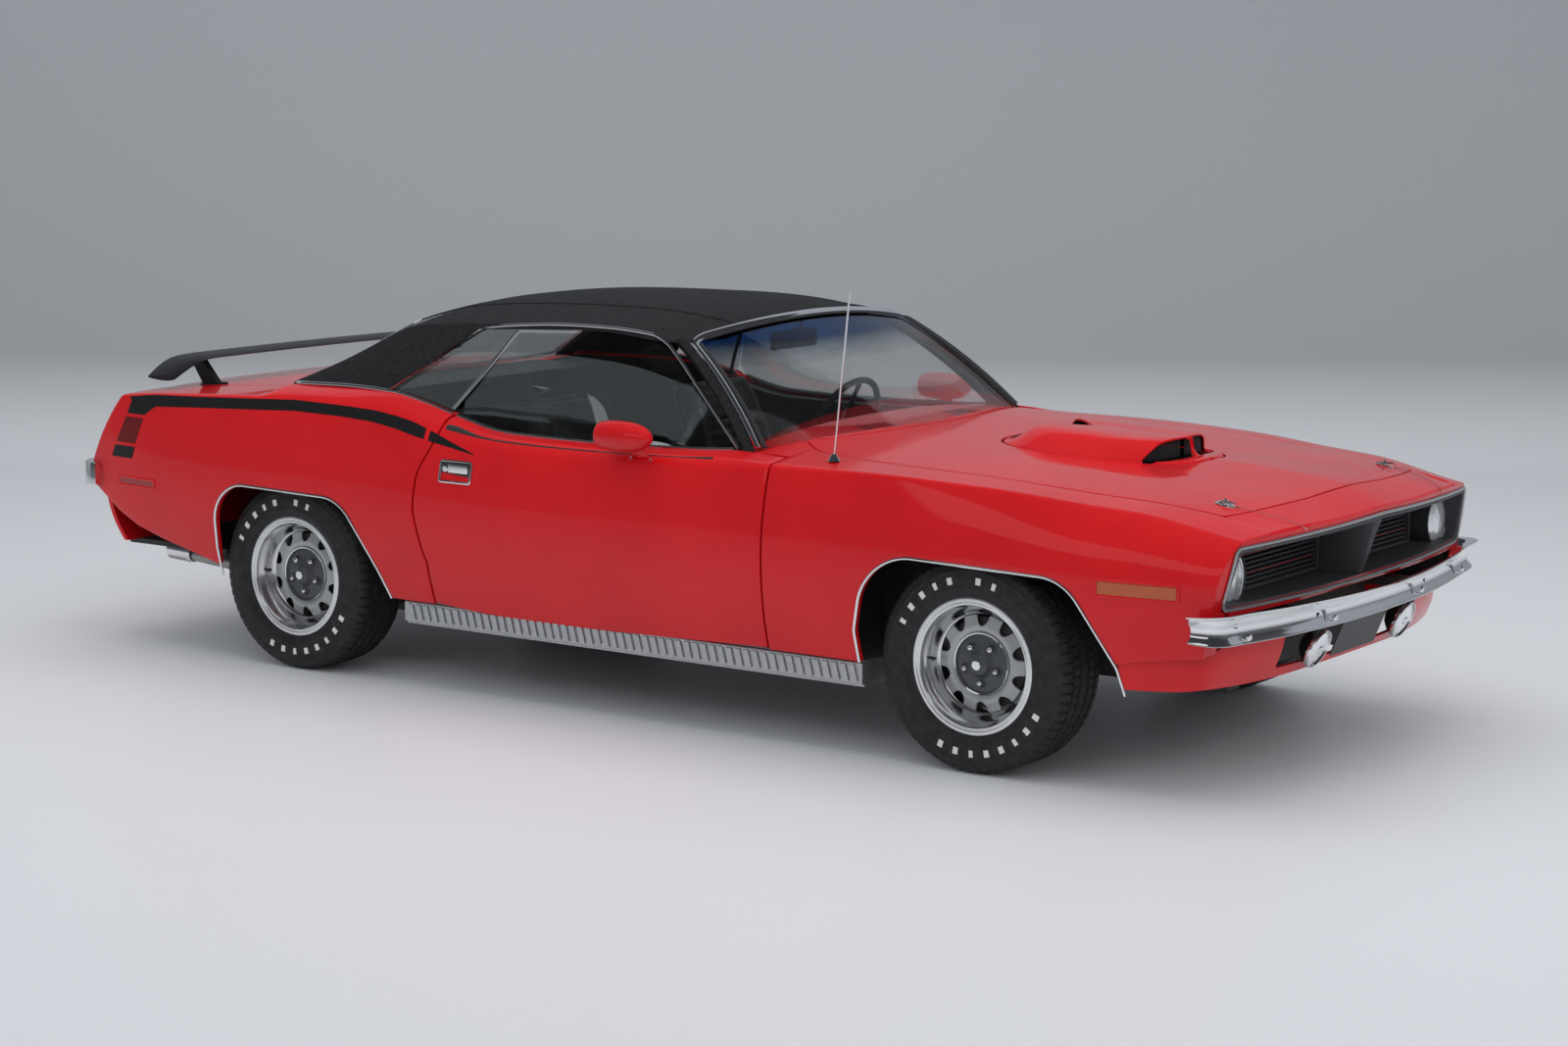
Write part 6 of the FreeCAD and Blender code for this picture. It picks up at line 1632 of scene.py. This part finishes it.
def padMesh(name, rows, channels, depth, across=48):
    # a crowned, closed pad: rows of (station, z, out station, out z, half width, thickness), channels across its face
    verts, n = [], len(rows)
    for side in (1, -1):
        for i, (s, y, z, ns, nz, half, thick) in enumerate(rows):
            t = i / (n - 1)
            edgeT = (1 - abs(2 * t - 1) ** 6) ** 0.5 if 0 < t < 1 else 0.0
            for k in range(across + 1):
                u = -1 + 2 * k / across
                edge = max(1 - abs(u) ** 7, 0) ** 0.5 * edgeT
                puff = 0.0
                if side > 0 and abs(u) < 0.72:
                    puff = depth * abs(math.sin(math.pi * channels * t)) ** 0.5 - depth
                    puff *= min((0.72 - abs(u)) / 0.05, 1)
                pull = 1 - 0.02 * (1 - abs(2 * t - 1) ** 2) * (abs(u) > 0.99)
                bolster = 14 * math.exp(-((abs(u) - 0.84) / 0.12) ** 2) if side > 0 else 0
                out = (thick / 2 + (12 + bolster) * (side > 0)) * edge * side + puff * edge
                verts.append(place((s + ns * out, y + u * half * pull, z + nz * out)))
    mesh = meshOf(name, verts, gridFaces(n, across + 1) + gridFaces(n, across + 1, n * (across + 1)))
    work = bmesh.new()
    work.from_mesh(mesh)
    bmesh.ops.remove_doubles(work, verts=work.verts, dist=0.0004)
    work.to_mesh(mesh)
    work.free()
    return outward(mesh)


def padRows(line, y, half, thick):
    rows = []
    fine = smoothLine([(a, b, 0) for a, b in line], 9)
    for i, p in enumerate(fine):
        a, b = fine[max(i - 1, 0)], fine[min(i + 1, len(fine) - 1)]
        d = (b - a).normalized()
        t = i / (len(fine) - 1)
        wide = half * (1 - 0.10 * max(t - 0.55, 0) / 0.45) if len(line) > 3 else half
        rows.append((p.x, y, p.y, d.y, -d.x, wide, thick * (1 - 0.35 * t)))
    return rows


seatFacts = {"cushion": ((-1740, 398), (-1560, 412), (-1400, 424), (-1340, 418)),
             "back": ((-1752, 450), (-1786, 560), (-1826, 700), (-1868, 830), (-1898, 900), (-1912, 948)),
             "rearCushion": ((-2420, 470), (-2300, 474), (-2180, 480), (-2140, 470)),
             "rearBack": ((-2454, 520), (-2500, 640), (-2548, 760), (-2590, 852))}


def makePad(name, line, y, half, thick, channels, depth, replaced=()):
    rows = padRows(seatFacts[line], y, half, thick)
    if "ushion" in line:  # a cushion's face looks up, a back's looks ahead
        rows = [(s, yy, z, -a, -b, h, t) for s, yy, z, a, b, h, t in rows]
    piece = plainOf(name, padMesh("pad", rows, channels, depth), "seat_vinyl", "body", replaced, 60)


def makeSeats():
    for side, word in ((1, "Left"), (-1, "Right")):
        y = side * 405
        makePad("seatCushion" + word, "cushion", y, 238, 96, 9, 7, ("front_seats",) if side > 0 else ())
        makePad("seatBack" + word, "back", y, 232, 92, 14, 6)
        shell = blockMesh("base", (-1840, y - 205, 231), (-1380, y + 205, 346), 14)
        rail = blockMesh("rail", (-1870, y - 225, 346), (-1350, y + 225, 372), 10)
        plainOf("seatBase" + word, joined("seatBase", [shell, rail]), "cabin_plastic", "body")
    makePad("rearCushion", "rearCushion", 0, 530, 84, 7, 6, ("rear_seat",))
    makePad("rearBack", "rearBack", 0, 530, 76, 9, 6)


def makeDash():
    hoodLine = blockMesh("binnacle", (-1046, 190, 800), (-930, 560, 884), 22)
    panel = blockMesh("panel", (-1054, -700, 700), (-1040, 700, 790), 4)
    stack = blockMesh("stack", (-1056, -90, 560), (-1000, 90, 700), 8)
    console = blockMesh("console", (-1700, -80, 400), (-1060, 80, 470), 18)
    box = blockMesh("glove", (-1052, -600, 650), (-1044, -240, 770), 4)
    plainOf("dashForms", joined("dashForms", [hoodLine, panel, stack, console, box]), "cabin_plastic", "body")
    rings = [latheMesh("dial", [(0, 0), (r, 0), (r, 4), (r - 3, 5), (r - 5, 2), (0, 2)], (-1054, y, 752),
                       (-1, 0, 0.1), 48, closed=False) for y, r in ((300, 42), (420, 42), (220, 26), (500, 26))]
    knobs = [latheMesh("knob", [(0, 0), (11, 0), (10, 14), (7, 18), (0, 18)], (-1056, y, 640), (-1, 0, 0), 24,
                       closed=False) for y in (-60, 0, 60)]
    lever = sweepMesh("lever", [(-1420, 0, 468), (-1428, 0, 540), (-1440, 0, 610)], circleSection(6, 12))
    plainOf("dashTrim", joined("dashTrim", rings + knobs + [lever]), "chrome", "body")
    mirror = blockMesh("mirror", (-1266, -128, 1134), (-1246, 128, 1196), 9)
    stem = sweepMesh("stem", [(-1250, 0, 1166), (-1236, 0, 1200), (-1212, 0, 1244)], circleSection(6, 12))
    plainOf("rearMirror", joined("rearMirror", [mirror, stem]), "cabin_plastic", "body")
    turn = Vector((-math.cos(math.radians(25)), 0, math.sin(math.radians(25))))
    c = (-1313, 370, 823)
    hoop = latheMesh("hoop", [(190 + a, b) for a, b in circleSection(11.5, 16)], c, turn, 120)
    cap = latheMesh("cap", [(0, -28), (36, -28), (38, -10), (34, 12), (24, 18), (0, 20)], c, turn, 64, closed=False)
    plainOf("steeringHoop", joined("steeringHoop", [hoop, cap]), "cabin_plastic", "steering", ("steering_wheel",))
    across, down = Vector((0, 1, 0)), turn.cross(Vector((0, 1, 0)))
    spokes = []
    for a, b in ((0.97, 0.24), (-0.97, 0.24), (0, -1)):
        way = across * a + down * b
        flat = way.cross(turn).normalized()
        base = place(c)
        verts = []
        for u, wide in ((26, 22), (70, 17), (120, 14), (186, 15)):
            for v, h in ((-wide, 1.6), (wide, 1.6), (wide, -1.6), (-wide, -1.6)):
                verts.append(base + way * u * mm + flat * v * mm + turn * h * mm)
        spokes.append(outward(meshOf("spoke", verts, tubeFaces(4, 4))))
    plainOf("steeringSpokes", joined("steeringSpokes", spokes), "chrome", "steering")


makeCamera(cameraFit)
makeStudio(studio)
makeFinishes()
slotOf = {row["node"]: row["material_slot"] for row in frame["record"]["subparts"]}
for nodeName in nodes:
    dress(nodeName, finishes[darkNodes.get(nodeName, slotOf[nodeName])])
print("stage and finishes done")
makeSidePanels()
makeLids()
print("panels done")
makeWheels()
print("wheels done")
makeSideTrim()
makeFittings()
print("trim done")
makeBumpers()
makeFront()
makeRoadLamps()
print("front done")
makeScoop()
makeHoodPins()
makeMirrors()
makeDoorCards()
makeStripeEnds()
makeGlassTrim()
makeSmallPieces()
print("details done")
makeSeats()
makeDash()
print("cabin done")
